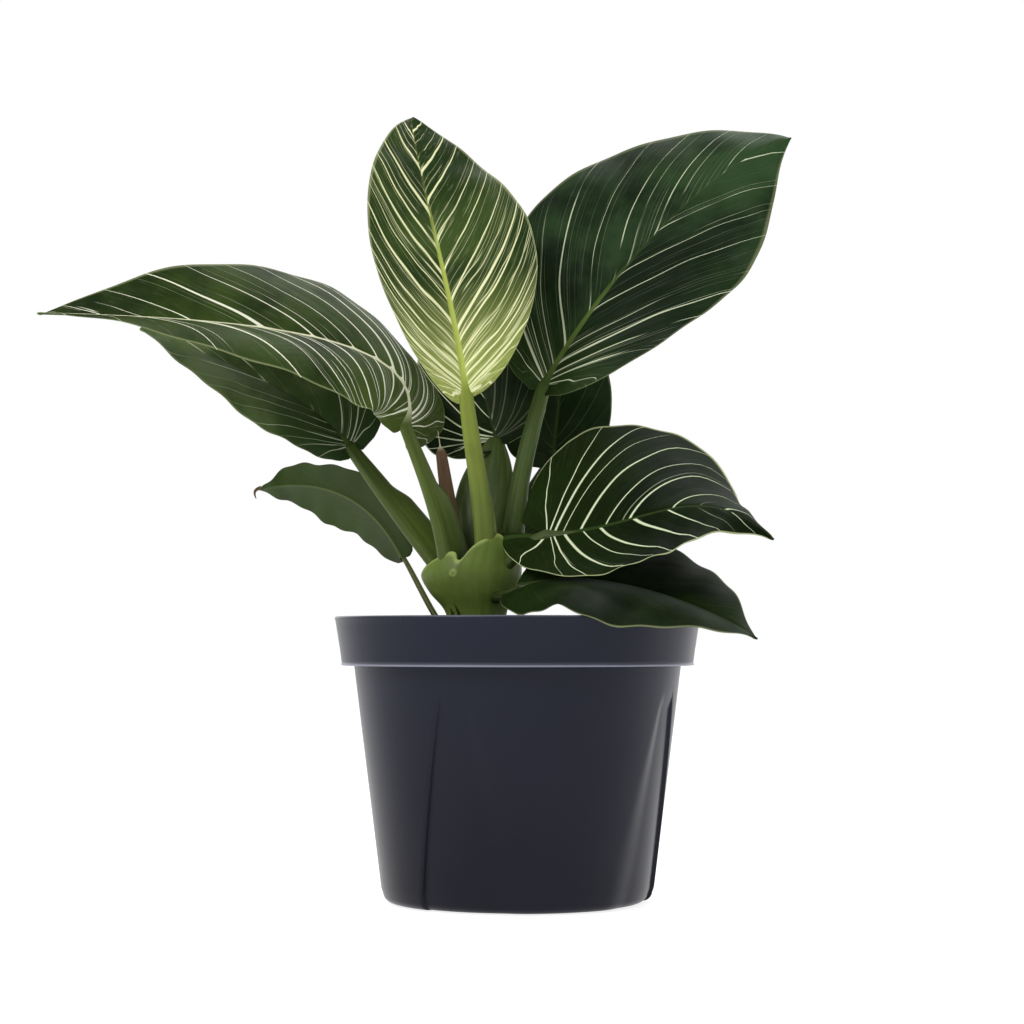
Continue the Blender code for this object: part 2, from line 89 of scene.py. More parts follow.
LEAVES = {
    "young": {
        "rib": ((-0.021, -0.014, 0.090), (-0.025, -0.022, 0.125),
                (-0.041, -0.008, 0.181), (-0.045, 0.016, 0.210)),
        "face": ((0.05, -1.0, 0.25), (0.30, -1.0, 0.18)),
        "half": (0.030, 0.041), "lobe": (0.003, 0.001), "widest": 0.50, "ends": (0.70, 0.87),
        "fold": ((19, 26), (20, 0)), "curl": ((-2, -16), (-12, -33)),
        "stalk": ((-0.013, -0.007, 0.026), (-0.014, -0.010, 0.050), (-0.019, -0.012, 0.070)),
        "radii": (0.0045, 0.0038, 0.0030), "flat": 0.80,
        "look": "pale", "slot": "leaf_pale", "sweep": (2.1, 3.4), "bow": (0.65, 2.4),
    },
    "right_upper": {
        "rib": ((0.011, 0.008, 0.096), (0.037, 0.014, 0.144),
                (0.082, 0.026, 0.193), (0.116, 0.022, 0.203)),
        "face": ((-0.20, -1.0, 0.23), (-0.05, -1.0, 0.57)),
        "half": (0.053, 0.047), "lobe": (0.004, 0.004), "widest": 0.46, "ends": (0.64, 1.0),
        "fold": ((20, -26), (29, 7)), "curl": ((-15, -20), (-14, -17)),
        "stalk": ((-0.003, 0.004, 0.026), (-0.001, 0.006, 0.052), (0.005, 0.006, 0.074)),
        "radii": (0.0042, 0.0038, 0.0030), "flat": 0.85,
        "look": "dark", "slot": "leaf_dark", "sweep": (2.4, 5.5), "bow": (0.7, 1.9),
    },
    "left_long": {
        "rib": ((-0.046, -0.006, 0.078), (-0.032, -0.016, 0.115),
                (-0.109, -0.024, 0.120), (-0.195, -0.020, 0.123)),
        "face": ((0.52, -0.75, 0.65), (0.05, -0.70, 0.69)),
        "half": (0.033, 0.052), "lobe": (0.004, 0.010), "widest": 0.42, "ends": (0.67, 1.13),
        "fold": ((15, 32), (-20, 34)), "curl": ((-38, -28), (-50, -36)),
        "stalk": ((-0.028, -0.006, 0.026), (-0.032, -0.009, 0.046), (-0.040, -0.007, 0.062)),
        "radii": (0.0060, 0.0042, 0.0029), "flat": 0.60,
        "look": "striped", "slot": "leaf_striped", "sweep": (1.9, 2.8), "bow": (0.9, 1.5), "swept_back": 0,
    },
    "left_back": {
        "rib": ((-0.070, 0.014, 0.071), (-0.085, 0.012, 0.092),
                (-0.121, 0.010, 0.107), (-0.159, 0.018, 0.121)),
        "face": ((0.06, -0.85, 0.51), (0.04, -0.60, 0.68)),
        "half": (0.023, 0.038), "lobe": (0.004, 0.004), "widest": 0.41, "ends": (0.68, 1.04),
        "fold": ((18, 13), (16, 20)), "curl": ((-21, -28), (-20, -30)),
        "stalk": ((-0.030, 0.007, 0.020), (-0.043, 0.006, 0.036), (-0.060, 0.010, 0.058)),
        "radii": (0.0055, 0.0045, 0.0027), "flat": 0.60,
        "look": "faint", "slot": "leaf_dark", "sweep": (2.8, 6.0),
    },
    "left_low": {
        "rib": ((-0.048, 0.022, 0.025), (-0.066, 0.028, 0.061),
                (-0.096, 0.030, 0.058), (-0.110, 0.024, 0.054)),
        "face": ((0.19, 0.45, 0.81), (-0.14, 0.50, 0.83)),
        "half": (0.017, 0.029), "lobe": (0.001, 0.001), "widest": 0.42, "ends": (0.78, 1.16),
        "fold": ((16, 17), (12, 16)), "curl": ((-15, -30), (-20, -26)),
        "stalk": ((-0.020, 0.003, -0.016), (-0.032, 0.006, -0.008), (-0.040, 0.016, 0.012)),
        "radii": (0.0014, 0.0013, 0.0012), "flat": 1.0,
        "look": "plain_light", "slot": "leaf_plain", "sweep": (1.8, 2.6),
    },
    "right_curled": {
        "rib": ((0.012, -0.016, 0.033), (0.055, -0.034, 0.035),
                (0.070, -0.044, 0.057), (0.101, -0.046, 0.030)),
        "face": ((0.09, -0.80, 0.60), (0.17, -0.75, 1.02)),
        "half": (0.075, 0.037), "lobe": (0.013, 0.021), "widest": 0.40, "ends": (0.53, 1.11),
        "fold": ((12, -36), (-2, -3)), "curl": ((-21, -24), (33, 20)),
        "stalk": ((-0.008, -0.006, 0.018), (-0.001, -0.010, 0.025), (0.005, -0.013, 0.030)),
        "radii": (0.0032, 0.0028, 0.0025), "flat": 0.90,
        "look": "striped_dark", "slot": "leaf_striped", "sweep": (2.4, 5.0), "bow": (1.0, 2.1),
        "notch": (0.009, -0.004),
    },
    "right_back": {
        "rib": ((0.016, 0.040, 0.069), (0.015, 0.048, 0.077),
                (0.022, 0.058, 0.116), (0.024, 0.056, 0.145)),
        "face": ((0.06, -1.0, 0.15), (0.06, -1.0, 0.20)),
        "half": (0.026, 0.023), "lobe": (0.008, 0.008), "widest": 0.40, "ends": (0.60, 1.10),
        "fold": ((10, 10), (9, 9)), "curl": ((-20, -20), (-20, -20)),
        "stalk": ((-0.005, 0.012, 0.022), (0.003, 0.021, 0.036), (0.013, 0.035, 0.050)),
        "radii": (0.0040, 0.0090, 0.0030), "flat": 0.25,
        "look": "shaded", "slot": "leaf_dark",
    },
    "centre_back": {
        "rib": ((-0.009, 0.026, 0.075), (-0.010, 0.030, 0.079),
                (-0.021, 0.040, 0.118), (-0.028, 0.044, 0.156)),
        "face": ((-0.14, -1.0, 0.19), (-0.11, -1.0, 0.20)),
        "half": (0.031, 0.025), "lobe": (0.009, 0.006), "widest": 0.35, "ends": (0.54, 1.10),
        "fold": ((11, 14), (14, 14)), "curl": ((-22, -20), (-20, -20)),
        "stalk": ((-0.017, 0.010, 0.028), (-0.015, 0.014, 0.045), (-0.012, 0.020, 0.060)),
        "radii": (0.0080, 0.0120, 0.0030), "flat": 0.22,
        "look": "shaded_striped", "slot": "leaf_dark",
    },
    "over_rim": {
        "rib": ((-0.044, 0.036, 0.012), (-0.022, 0.020, 0.021),
                (0.022, 0.001, 0.008), (0.047, 0.001, -0.009)),
        "face": ((0.09, -0.50, 0.86), (0.45, -0.50, 0.88)),
        "half": (0.039, 0.037), "lobe": (0.004, 0.010), "widest": 0.55, "ends": (0.45, 1.19),
        "fold": ((24, 3), (8, 20)), "curl": ((-16, -23), (-24, -36)),
        "stalk": ((-0.010, -0.008, 0.008), (-0.006, -0.013, 0.007), (-0.002, -0.019, 0.009)),
        "radii": (0.0030, 0.0026, 0.0024), "flat": 0.90,
        "look": "plain", "slot": "leaf_plain", "sweep": (2.0, 3.0), "droop": (1, 0.33, 0.024),
        "notch": (0.004, 0.001),
    },
}
RIM_LEAF_TURN = math.radians(38)

# ---------------------------------------------------------------- node materials


class Value:
    """A number, colour or place that varies over a surface. Arithmetic on it adds math nodes."""

    def __init__(self, graph, socket):
        self.graph = graph
        self.socket = socket

    def math(self, operation, *others, clamp=False):
        made = self.graph.add("ShaderNodeMath", operation=operation, use_clamp=clamp)
        return self.graph.filled(made, self, *others)

    def __add__(self, other):
        return self.math("ADD", other)

    def __sub__(self, other):
        return self.math("SUBTRACT", other)

    def __mul__(self, other):
        return self.math("MULTIPLY", other)

    def __truediv__(self, other):
        return self.math("DIVIDE", other)

    def __mod__(self, other):
        return self.math("MODULO", other)

    def __pow__(self, other):
        return self.math("POWER", other)

    def __abs__(self):
        return self.math("ABSOLUTE")

    def scaled(self, factor, shift):
        return self.math("MULTIPLY_ADD", factor, shift)

    def ramp(self, low, high, out_low=0.0, out_high=1.0):
        """A smooth step between two values."""
        made = self.graph.add("ShaderNodeMapRange", interpolation_type="SMOOTHSTEP", clamp=True)
        return self.graph.filled(made, self, low, high, out_low, out_high)


class Graph:
    """Adds shader nodes to one material and links them."""

    def __init__(self, name):
        self.material = bpy.data.materials.new(name)
        self.material.use_nodes = True
        self.tree = self.material.node_tree
        self.shader = self.tree.nodes["Principled BSDF"]

    def add(self, kind, **settings):
        made = self.tree.nodes.new(kind)
        for key, value in settings.items():
            setattr(made, key, value)
        return made

    def feed(self, socket, value):
        if isinstance(value, Value):
            self.tree.links.new(value.socket, socket)
        else:
            socket.default_value = (*value, 1.0) if isinstance(value, tuple) else value

    def filled(self, node, *values):
        """Feeds the node's inputs in turn and gives its first output."""
        for socket, value in zip(node.inputs, values):
            self.feed(socket, value)
        return Value(self, node.outputs[0])

    def mix(self, share, first, second):
        made = self.add("ShaderNodeMix", data_type="RGBA")
        for index, value in ((0, share), (6, first), (7, second)):   # the inputs of a colour mix
            self.feed(made.inputs[index], value)
        return Value(self, made.outputs[2])

    def noise(self, place, scale, detail=3.0, rough=0.55):
        made = self.add("ShaderNodeTexNoise")
        for title, value in (("Vector", place), ("Scale", scale), ("Detail", detail), ("Roughness", rough)):
            self.feed(made.inputs[title], value)
        return Value(self, made.outputs[0])

    def streaks(self, u, v, detail):
        """Noise drawn out along a surface's own directions."""
        return self.noise(self.filled(self.add("ShaderNodeCombineXYZ"), u, v), 1.0, detail)

    def chance(self, value):
        made = self.add("ShaderNodeTexWhiteNoise", noise_dimensions="1D")
        self.feed(made.inputs["W"], value)
        return Value(self, made.outputs["Value"])

    def vector(self, x, y, z):
        return self.filled(self.add("ShaderNodeCombineXYZ"), x, y, z)

    def split(self, value):
        made = self.add("ShaderNodeSeparateXYZ")
        self.feed(made.inputs[0], value)
        return [Value(self, socket) for socket in made.outputs]

    def uv(self, name):
        return self.split(Value(self, self.add("ShaderNodeUVMap", uv_map=name).outputs[0]))[:2]

    def attribute(self, name):
        return Value(self, self.add("ShaderNodeAttribute", attribute_name=name).outputs["Fac"])

    def place(self):
        return Value(self, self.add("ShaderNodeTexCoord").outputs["Object"])

    def bump(self, height, strength, distance):
        made = self.add("ShaderNodeBump")
        for title, value in (("Height", height), ("Strength", strength), ("Distance", distance)):
            self.feed(made.inputs[title], value)
        self.tree.links.new(made.outputs[0], self.shader.inputs["Normal"])

    def finish(self, colour, roughness, specular):
        self.feed(self.shader.inputs["Base Color"], colour)
        self.feed(self.shader.inputs["Roughness"], roughness)
        self.shader.inputs["Specular IOR Level"].default_value = specular
        return self.material


def srgb(red, green, blue):
    """A colour given as 0 to 255 display values, made linear."""
    linear = []
    for level in (red, green, blue):
        share = level / 255
        linear.append(share / 12.92 if share <= 0.04045 else ((share + 0.055) / 1.055) ** 2.4)
    return tuple(linear)


def stripe_layer(graph, across, row, pitch, layer, seed):
    """Cream lines along the side veins. Each has its own place, width and length, in metres across."""
    count, width, density, fade, wobble, crowd = layer
    calm = (row % LEFT_ROWS).ramp(0.35, 0.85, wobble, 0.15 * wobble)
    drift = (graph.noise(graph.vector(across, row, seed), 2.0, 1.0) - 0.5) * calm
    turn = row * count + drift
    cell = turn.math("FLOOR") + seed
    centre = graph.chance(cell + 31.7).scaled(0.44, 0.28)
    there = graph.chance(cell + 77.3).math("LESS_THAN", density)
    spacing = pitch / count
    off = abs(turn.math("FRACT") - centre) * spacing
    taper = (across ** 1.4).scaled(-0.68, 1.0)
    half = graph.chance(cell).scaled(width * 1.25, width * 0.35) * taper
    half = half.math("MINIMUM", spacing * crowd)
    length = graph.noise(graph.vector(across * 1.6, cell, seed * 0.37), 1.0, 1.0)
    return (off / half).ramp(*SOFT_LINE) * length.ramp(fade - 0.06, fade + 0.08) * there


# Colours of each kind of blade: ground in shade and in light, the tone of its foot, stripes, rib,
# and the stripe layers as ((count, half width, density, fade, wobble, crowd), strength).
# foot is how far up and how strongly the foot's tone spreads, left and right scale the stripes, dimming them
# on a half in shadow as painted shade; one look also darkens one half towards the foot to its shade tone as
# painted shade.
LOOKS = {
    "pale": {
        "ground": (srgb(34, 54, 20), srgb(62, 82, 36)), "cream": srgb(238, 240, 186), "fleck_and_sheen": 0.10,
        "foot_tone": srgb(176, 188, 100), "foot": (0.42, 0.75),
        "rib": srgb(172, 186, 88), "rib_width": 0.0021, "rib_fade": (0.40, 0.72), "rough": 0.50, "edge": 0.4,
        "layers": (
            ((15, 0.00058, 0.97, 0.30, 1.2, 0.45), 1.0), ((34, 0.00034, 0.62, 0.45, 2.6, 0.45), 0.70),
            ((86, 0.00020, 0.62, 0.46, 4.0, 0.40), 0.36)),
    },
    "striped": {
        "ground": (srgb(26, 42, 10), srgb(58, 76, 30)), "cream": srgb(242, 244, 218), "fleck_and_sheen": 0.03,
        "foot_tone": srgb(100, 116, 56), "foot": (0.5, 0.4),
        "rib": srgb(228, 230, 190), "rib_width": 0.0012, "rough": 0.54, "edge": 0.3, "gloss": 0.06,
        "layers": (
            ((14, 0.00052, 0.95, 0.28, 0.5, 0.26), 1.0), ((30, 0.00026, 0.45, 0.47, 0.9, 0.26), 0.7),
            ((84, 0.00014, 0.45, 0.48, 1.2, 0.25), 0.25)),
    },
    "striped_dark": {
        "ground": (srgb(8, 20, 2), srgb(18, 35, 7)), "cream": srgb(222, 232, 192), "fleck_and_sheen": 0.01,
        "foot_tone": srgb(40, 58, 18), "foot": (0.4, 0.35),
        "rib": srgb(46, 64, 26), "rib_width": 0.0012, "rough": 0.62, "edge": 0.8, "gloss": 0.03,
        "layers": (((9, 0.00048, 0.97, 0.26, 0.4, 0.20), 0.95), ((21, 0.00022, 0.22, 0.50, 0.8, 0.20), 0.35)),
    },
    "dark": {
        "ground": (srgb(10, 28, 7), srgb(46, 70, 38)), "cream": srgb(214, 222, 186), "fleck_and_sheen": 0.02,
        "foot_tone": srgb(56, 78, 32), "foot": (0.25, 0.4),
        "rib": srgb(84, 106, 46), "rib_width": 0.0017, "rib_fade": (0.18, 0.42), "rough": 0.48, "edge": 0.2,
        # its right half darkens towards the foot as painted shade
        "gloss": 0.08, "painted_shade": (0.8, 0.1, 0.9),
        "layers": (
            ((9, 0.00036, 0.95, 0.38, 0.5, 0.20), 0.9), ((23, 0.00019, 0.45, 0.50, 0.8, 0.20), 0.45),
            ((74, 0.00012, 0.50, 0.48, 1.0, 0.30), 0.14)),
    },
    "faint": {
        "ground": (srgb(64, 84, 44), srgb(112, 130, 82)), "cream": srgb(226, 232, 200), "fleck_and_sheen": 0.02,
        "foot_tone": srgb(40, 60, 30), "foot": (0.55, 1.0), "under": srgb(58, 76, 38),
        "rib": srgb(52, 70, 32), "rib_width": 0.0011, "rib_fade": (0.1, 0.4), "rough": 0.54, "edge": 0.3,
        "pleat": 0.3,
        "layers": (((9, 0.00028, 0.85, 0.42, 0.4, 0.20), 0.65), ((26, 0.00014, 0.30, 0.50, 0.8, 0.2), 0.2)),
    },
    "shaded": {
        "ground": (srgb(24, 42, 18), srgb(46, 64, 36)), "cream": srgb(110, 134, 86),
        "foot_tone": srgb(38, 56, 22), "foot": (0.3, 0.3),
        "rib": srgb(60, 80, 36), "rib_width": 0.0012, "rib_fade": (0.3, 0.7), "rough": 0.54, "edge": 0.25,
        "pleat": 0.5,
        "layers": (((8, 0.00030, 0.80, 0.42, 0.4, 0.20), 0.40),),
    },
    "shaded_striped": {
        "ground": (srgb(12, 24, 8), srgb(30, 44, 18)), "cream": srgb(222, 230, 192),
        # its right half lies in shadow: the stripes there are dimmed as painted shade
        "foot_tone": srgb(36, 52, 22), "foot": (0.3, 0.3), "sides": (1.0, 0.13),
        "rib": srgb(44, 60, 26), "rib_width": 0.0010, "rib_fade": (0.2, 0.6), "rough": 0.54, "edge": 0.7,
        "layers": (((9, 0.00042, 0.95, 0.30, 0.4, 0.22), 0.95), ((22, 0.00020, 0.30, 0.50, 0.8, 0.2), 0.4)),
    },
    "plain": {
        "ground": (srgb(12, 26, 5), srgb(28, 46, 13)), "cream": srgb(96, 114, 60), "fleck_and_sheen": 0.05,
        "gloss": 0.05,
        "foot_tone": srgb(34, 50, 18), "foot": (0.3, 0.3),
        "rib": srgb(52, 70, 28), "rib_width": 0.0009, "rib_fade": (0.3, 0.9), "rough": 0.54, "edge": 0.35,
        "pleat": 0.3,
        "layers": (((12, 0.00030, 0.60, 0.50, 0.4, 0.2), 0.10),),
    },
    "plain_light": {
        "ground": (srgb(38, 52, 24), srgb(54, 68, 36)), "cream": srgb(110, 128, 76), "fleck_and_sheen": 0.05,
        "foot_tone": srgb(34, 50, 22), "foot": (0.5, 0.6),
        "rib": srgb(90, 106, 56), "rib_width": 0.0009, "rough": 0.54, "edge": 0.35, "pleat": 0.3,
        "layers": (((12, 0.00030, 0.60, 0.50, 0.4, 0.2), 0.10),),
    },
}
BLADE_SPECULAR = 0.10
UNDER_GREEN = srgb(58, 78, 30)
UNDER_RIB = srgb(96, 112, 56)
EDGE_CREAM = srgb(196, 204, 150)
SOFT_LINE = (1.15, 0.55)           # a line fades out between these shares of its half width
VEINS_UV = "veins"
SHAPE_UV = "shape"
UV_SPAN = 0.2                      # metres across that fill the shape map's width
LEFT_ROWS = 3.0                    # the left half's rows count on from here, so that its stripes differ


def blade_material(name, look, seed):
    """Dark green ground, cream pinstripes along the side veins, a pale rib and a duller under side."""
    recipe = LOOKS[look]
    graph = Graph("blade_" + name)
    across, row = graph.uv(VEINS_UV)
    aside, along = graph.uv(SHAPE_UV)
    place = graph.place()
    under = graph.attribute("under")
    pitch = graph.attribute("pitch")
    shade_tone, light_tone = recipe["ground"]
    cream = recipe["cream"]

    def by_side(left, right):
        return aside.ramp(0.49, 0.51, left, right)

    # the ground: cloudy green, in places darkened as painted shade, the foot's own tone, and cream flecks
    # that also paint in a streaky sheen
    cloud = graph.noise(place, 28.0, 4.0)
    ground = graph.mix(cloud.ramp(0.35, 0.68), shade_tone, light_tone)
    # painted shade: one half of the blade darkens towards its foot to the shade tone
    if "painted_shade" in recipe:
        reach, left, right = recipe["painted_shade"]
        ground = graph.mix(by_side(left, right) * along.ramp(reach, reach * 0.3), ground, shade_tone)
    fleck_and_sheen = graph.streaks(across * 5.0, row * 120.0, 2.0)
    foot_reach, foot_strength = recipe["foot"]
    foot = along.ramp(foot_reach, 0.0) * foot_strength
    at_foot = foot.math("MULTIPLY", fleck_and_sheen.scaled(1.2, 0.35), clamp=True)
    ground = graph.mix(at_foot, ground, recipe["foot_tone"])
    # cream flecks along the veins, partly the leaf's own pale fibres and partly a painted sheen
    ground = graph.mix(fleck_and_sheen.ramp(0.52, 0.78, 0.0, recipe.get("fleck_and_sheen", 0.02)), ground, cream)

    # the stripes, then the rib and the pale edge
    mask = None
    for i, (layer, strength) in enumerate(recipe["layers"]):
        line = stripe_layer(graph, across, row, pitch, layer, seed + 11.0 * i) * strength
        mask = mask.math("MAXIMUM", line) if mask else line
    # painted shade: the stripes of a half in shadow are dimmed
    if "sides" in recipe:
        mask = mask * by_side(*recipe["sides"])
    colour = graph.mix(mask, ground, cream)
    rib_half = recipe["rib_width"] / UV_SPAN
    rib_taper = (along.math("MAXIMUM", 0.0) ** 0.7).scaled(-0.85 * rib_half, rib_half)
    rib_fade = along.ramp(*recipe.get("rib_fade", (0.8, 1.2)), 1.0, 0.12)
    on_rib = (abs(aside - 0.5) / rib_taper).ramp(*SOFT_LINE) * rib_fade
    colour = graph.mix(on_rib, colour, recipe["rib"])
    colour = graph.mix(across.ramp(0.970, 0.992, 0.0, recipe["edge"]), colour, EDGE_CREAM)

    # the under side, where stripes and rib show through faintly
    under_light = recipe.get("under", light_tone)
    under_tone = graph.mix(cloud.ramp(0.3, 0.7), under_light, graph.mix(0.5, UNDER_GREEN, under_light))
    under_tone = graph.mix(mask * 0.25, under_tone, cream)
    under_tone = graph.mix(on_rib * 0.6, under_tone, UNDER_RIB)
    rough = graph.noise(place, 90.0, 3.0).scaled(0.16, recipe["rough"] - 0.08)
    graph.bump(graph.noise(place, 700.0, 3.0) + fleck_and_sheen * 1.2, 0.10, 0.0004)
    colour = graph.mix(under, colour, under_tone)
    return graph.finish(colour, under.scaled(0.12, rough), recipe.get("gloss", BLADE_SPECULAR))


# ---------------------------------------------------------------- curves and meshes


def unit(vectors):
    return vectors / np.linalg.norm(vectors, axis=-1, keepdims=True)


def smooth(share):
    """Eases a share from 0 to 1 in and out."""
    return share * share * (3 - 2 * share)


def along_curve(points, share):
    share = np.asarray(share, float)[..., None]
    rest = 1 - share
    a, b, c, d = (np.array(point, float) for point in points)
    return a * rest ** 3 + b * 3 * rest * rest * share + c * 3 * rest * share * share + d * share ** 3


def heading(points, share):
    share = np.asarray(share, float)[..., None]
    rest = 1 - share
    a, b, c, d = (np.array(point, float) for point in points)
    return unit((b - a) * rest * rest + (c - b) * 2 * rest * share + (d - c) * share * share)


def curve_length(points):
    steps = along_curve(points, np.linspace(0, 1, 41))
    return float(np.linalg.norm(np.diff(steps, axis=0), axis=1).sum())


def at_rim(point):
    return (point[0], point[1], RIM_Z + point[2])


def over_rim(point):
    x = RIM_RADIUS * math.sin(RIM_LEAF_TURN) + point[0]
    return (x, point[1] - RIM_RADIUS * math.cos(RIM_LEAF_TURN), RIM_Z + point[2])


def linked(name, data):
    obj = bpy.data.objects.new(name, data)
    bpy.context.scene.collection.objects.link(obj)
    return obj


def mesh_object(name, points, faces, surface, smooth_angle=60):
    mesh = bpy.data.meshes.new(name)
    mesh.from_pydata([tuple(point) for point in points], [], faces)
    mesh.update()
    mesh.shade_smooth()
    mesh.set_sharp_from_angle(angle=math.radians(smooth_angle))
    mesh.materials.append(surface)
    return linked(name, mesh)


def stand_for(obj, node, slot):
    """The piece rides with the body and hides its CAD node; slot, the record's finish, is not used."""
    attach(obj, BODY)
    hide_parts(node)
    return obj


def wall_faces(rings, sides):
    """The quads between closed rings of points."""
    faces = []
    for low in range(0, (rings - 1) * sides, sides):
        for j in range(sides):
            k = (j + 1) % sides
            faces.append((low + j, low + k, low + sides + k, low + sides + j))
    return faces


def capped_faces(rings, sides):
    """A wall between rings of points, closed with a flat face at both ends."""
    last = (rings - 1) * sides
    caps = [tuple(range(sides - 1, -1, -1)), tuple(range(last, last + sides))]
    return wall_faces(rings, sides) + caps


def corners_of(mesh):
    """The point and the face that each corner of the mesh belongs to."""
    points = np.empty(len(mesh.loops), np.int32)
    mesh.loops.foreach_get("vertex_index", points)
    sizes = np.empty(len(mesh.polygons), np.int32)
    mesh.polygons.foreach_get("loop_total", sizes)
    return points, np.repeat(np.arange(len(sizes)), sizes)


def add_uv(mesh, title, u, v):
    mesh.uv_layers.new(name=title).data.foreach_set("uv", np.stack((u, v), -1).ravel())


def mark_points(mesh, title, values):
    mesh.attributes.new(title, "FLOAT", "POINT").data.foreach_set("value", values)


# ---------------------------------------------------------------- blades

BLADE_ROWS = 230
BLADE_COLUMNS = 22
BLADE_THICKNESS = 0.0007
EDGE_CROWDING = 0.8                # rows crowd towards the tip along the margin
NOTCH = 0.35                       # half width of the cleft at the foot, as a share of the lobe's length
NOTCH_LEAST = 0.003
SWEPT_BACK = 2.2                   # how far the stripes of a swept-back half lean to the foot
VEIN_RELIEF = 0.00022
MARGIN_WAVES = ((0.0009, 2.6, 1.0), (0.0005, 6.5, 2.1))   # height, waves from foot to tip, seed's weight
RIB_GROOVE = (0.00045, 0.0011, 0.6)   # depth, half width, and how much of it is gone at the tip
RIB_RIDGE = (0.0013, 0.0014, 0.75)


def blade_grid(leaf, rib):
    """Share along the rib, reach across, sideways part and vein row of each point of the blade.

    A row is a side vein: it leaves the rib low down and runs forward to the margin, so that the
    veins fan out from the foot and close up again towards the tip.
    """
    rows = np.linspace(0, 1, BLADE_ROWS + 1)
    parts = np.linspace(0, 1, BLADE_COLUMNS + 1) ** 1.35
    length = curve_length(rib)
    share = rows ** EDGE_CROWDING
    slow, late = leaf.get("sweep", (3.0, 8.0))
    start = 0.5 * rows ** slow + 0.5 * rows ** late
    at_foot = ((1 - rows) ** 8)[:, None]
    early, late = leaf.get("bow", (1.0, 1.5))
    advance = 0.5 * parts ** early + 0.5 * parts ** late
    advance = advance + (np.sin(parts * math.pi / 2) - advance) * at_foot
    halves = []
    for side in (0, 1):
        lobe = leaf["lobe"][side] / length
        widest = (leaf["widest"] + lobe) / (1 + lobe)
        swell = np.sin(np.pi * share ** (math.log(0.5) / math.log(widest)))
        ends = leaf["ends"][0] + (leaf["ends"][1] - leaf["ends"][0]) * share
        notch = leaf["notch"][side] if "notch" in leaf else NOTCH_LEAST + NOTCH * leaf["lobe"][side]
        edge_reach = leaf["half"][side] * np.clip(swell, 0, 1) ** ends + notch * (1 - share) ** 6
        edge_share = -lobe + (1 + lobe) * share
        shares = start[:, None] + (edge_share - start)[:, None] * advance
        halves.append((shares, edge_reach[:, None] * parts[None, :]))
    shares = np.concatenate((halves[0][0][:, :0:-1], halves[1][0]), axis=1)
    reaches = np.concatenate((-halves[0][1][:, :0:-1], halves[1][1]), axis=1)
    across = np.concatenate((-parts[:0:-1], parts))
    drawn = np.tile(rows[:, None], (1, len(across)))
    if "swept_back" in leaf:
        # on this half the stripes run from the foot up to the rib instead of from the rib to the margin
        columns = slice(BLADE_COLUMNS, None, 1 if leaf["swept_back"] else -1)
        edge = 0.7 * rows ** SWEPT_BACK + 0.3 * rows
        for j, step in zip(range(len(across))[columns], advance[-1]):
            drawn[:, j] = np.interp(shares[:, j], share + (edge - share) * step, rows)
    return shares, reaches, np.tile(across, (len(rows), 1)), drawn


def bend(leaf, rib, shares, reaches, lift):
    """Lays flat blade points on the folded and curled surface. lift raises them along the face."""
    on_rib = np.clip(shares, 0, 1)
    way = heading(rib, on_rib)
    place = along_curve(rib, on_rib) + way * (np.minimum(shares, 0) * curve_length(rib))[..., None]
    first, last = (unit(np.array(face, float)) for face in leaf["face"])
    face = first + (last - first) * on_rib[..., None]
    up = unit(face - way * (face * way).sum(-1, keepdims=True))
    sideways = np.cross(way, up)
    right = reaches > 0

    def angles(key):
        left_at, right_at = (base + (tip - base) * on_rib for base, tip in leaf[key])
        return np.radians(np.where(right, right_at, left_at))

    fold = angles("fold")
    curl = angles("curl")
    curl = np.where(np.abs(curl) < 0.001, 0.001, curl)
    half = np.where(right, leaf["half"][1], leaf["half"][0])
    size = np.abs(reaches)
    soft = size / (size + 0.0015)      # the fold opens just beside the rib, not on a knife edge
    turned = fold + curl * size / half
    out = half / curl * (np.sin(turned) - np.sin(fold))
    rise = half / curl * (np.cos(fold) - np.cos(turned)) * soft
    points = place + sideways * (np.sign(reaches) * out)[..., None] + up * (rise + lift)[..., None]
    if "droop" in leaf:
        side, until, depth = leaf["droop"]
        near = np.clip(1 - shares / until, 0, 1) * (right == bool(side))
        points[..., 2] -= depth * near ** 1.25 * np.clip(size / half, 0, 1) ** 1.5
    return points


def to_tip(grid):
    """The blade's points row by row. The last row is all one point, the tip, and is taken once."""
    return np.concatenate((grid[:-1].reshape(-1, *grid.shape[2:]), grid[-1:, BLADE_COLUMNS]))


def blade_faces(rows, columns):
    """Upper and under side of a blade whose points come as in to_tip, joined round the margin."""
    tip = (rows - 1) * columns
    layer = tip + 1
    faces = []
    for i in range(rows - 2):
        for a in range(i * columns, (i + 1) * columns - 1):
            b, c, d = a + 1, a + columns + 1, a + columns
            faces.append((a, b, c, d))
            faces.append((d + layer, c + layer, b + layer, a + layer))
    for a in range(tip - columns, tip - 1):
        faces.append((a, a + 1, tip))
        faces.append((tip + layer, a + 1 + layer, a + layer))
    right = range(2 * columns - 1, tip, columns)
    left = range(tip - columns, 0, -columns)
    border = [*range(columns), *right, tip, *left]
    for a, b in zip(border, border[1:] + border[:1]):
        faces.append((b, a, a + layer, b + layer))
    return faces


def vein_pitch(along_rows, along_columns, rows):
    """How far it is on the blade from one whole row to the next, measured square to the veins."""
    size = np.linalg.norm(along_columns, axis=-1)
    tangents = along_columns / np.maximum(size, 1e-12)[..., None]
    lean = (along_rows * tangents).sum(-1)
    square = along_rows - tangents * lean[..., None]
    rise_rows, rise_columns = np.gradient(rows, axis=0), np.gradient(rows, axis=1)
    run = np.maximum(size, 1e-9)
    climb = np.maximum(np.linalg.norm(square, axis=-1), 1e-9)
    slope = np.hypot(rise_columns / run, rise_rows / climb - rise_columns / run * (lean / climb))
    pitches = 1 / np.maximum(slope, 1e-3)
    pitches[-1] = pitches[-2, BLADE_COLUMNS]
    return pitches


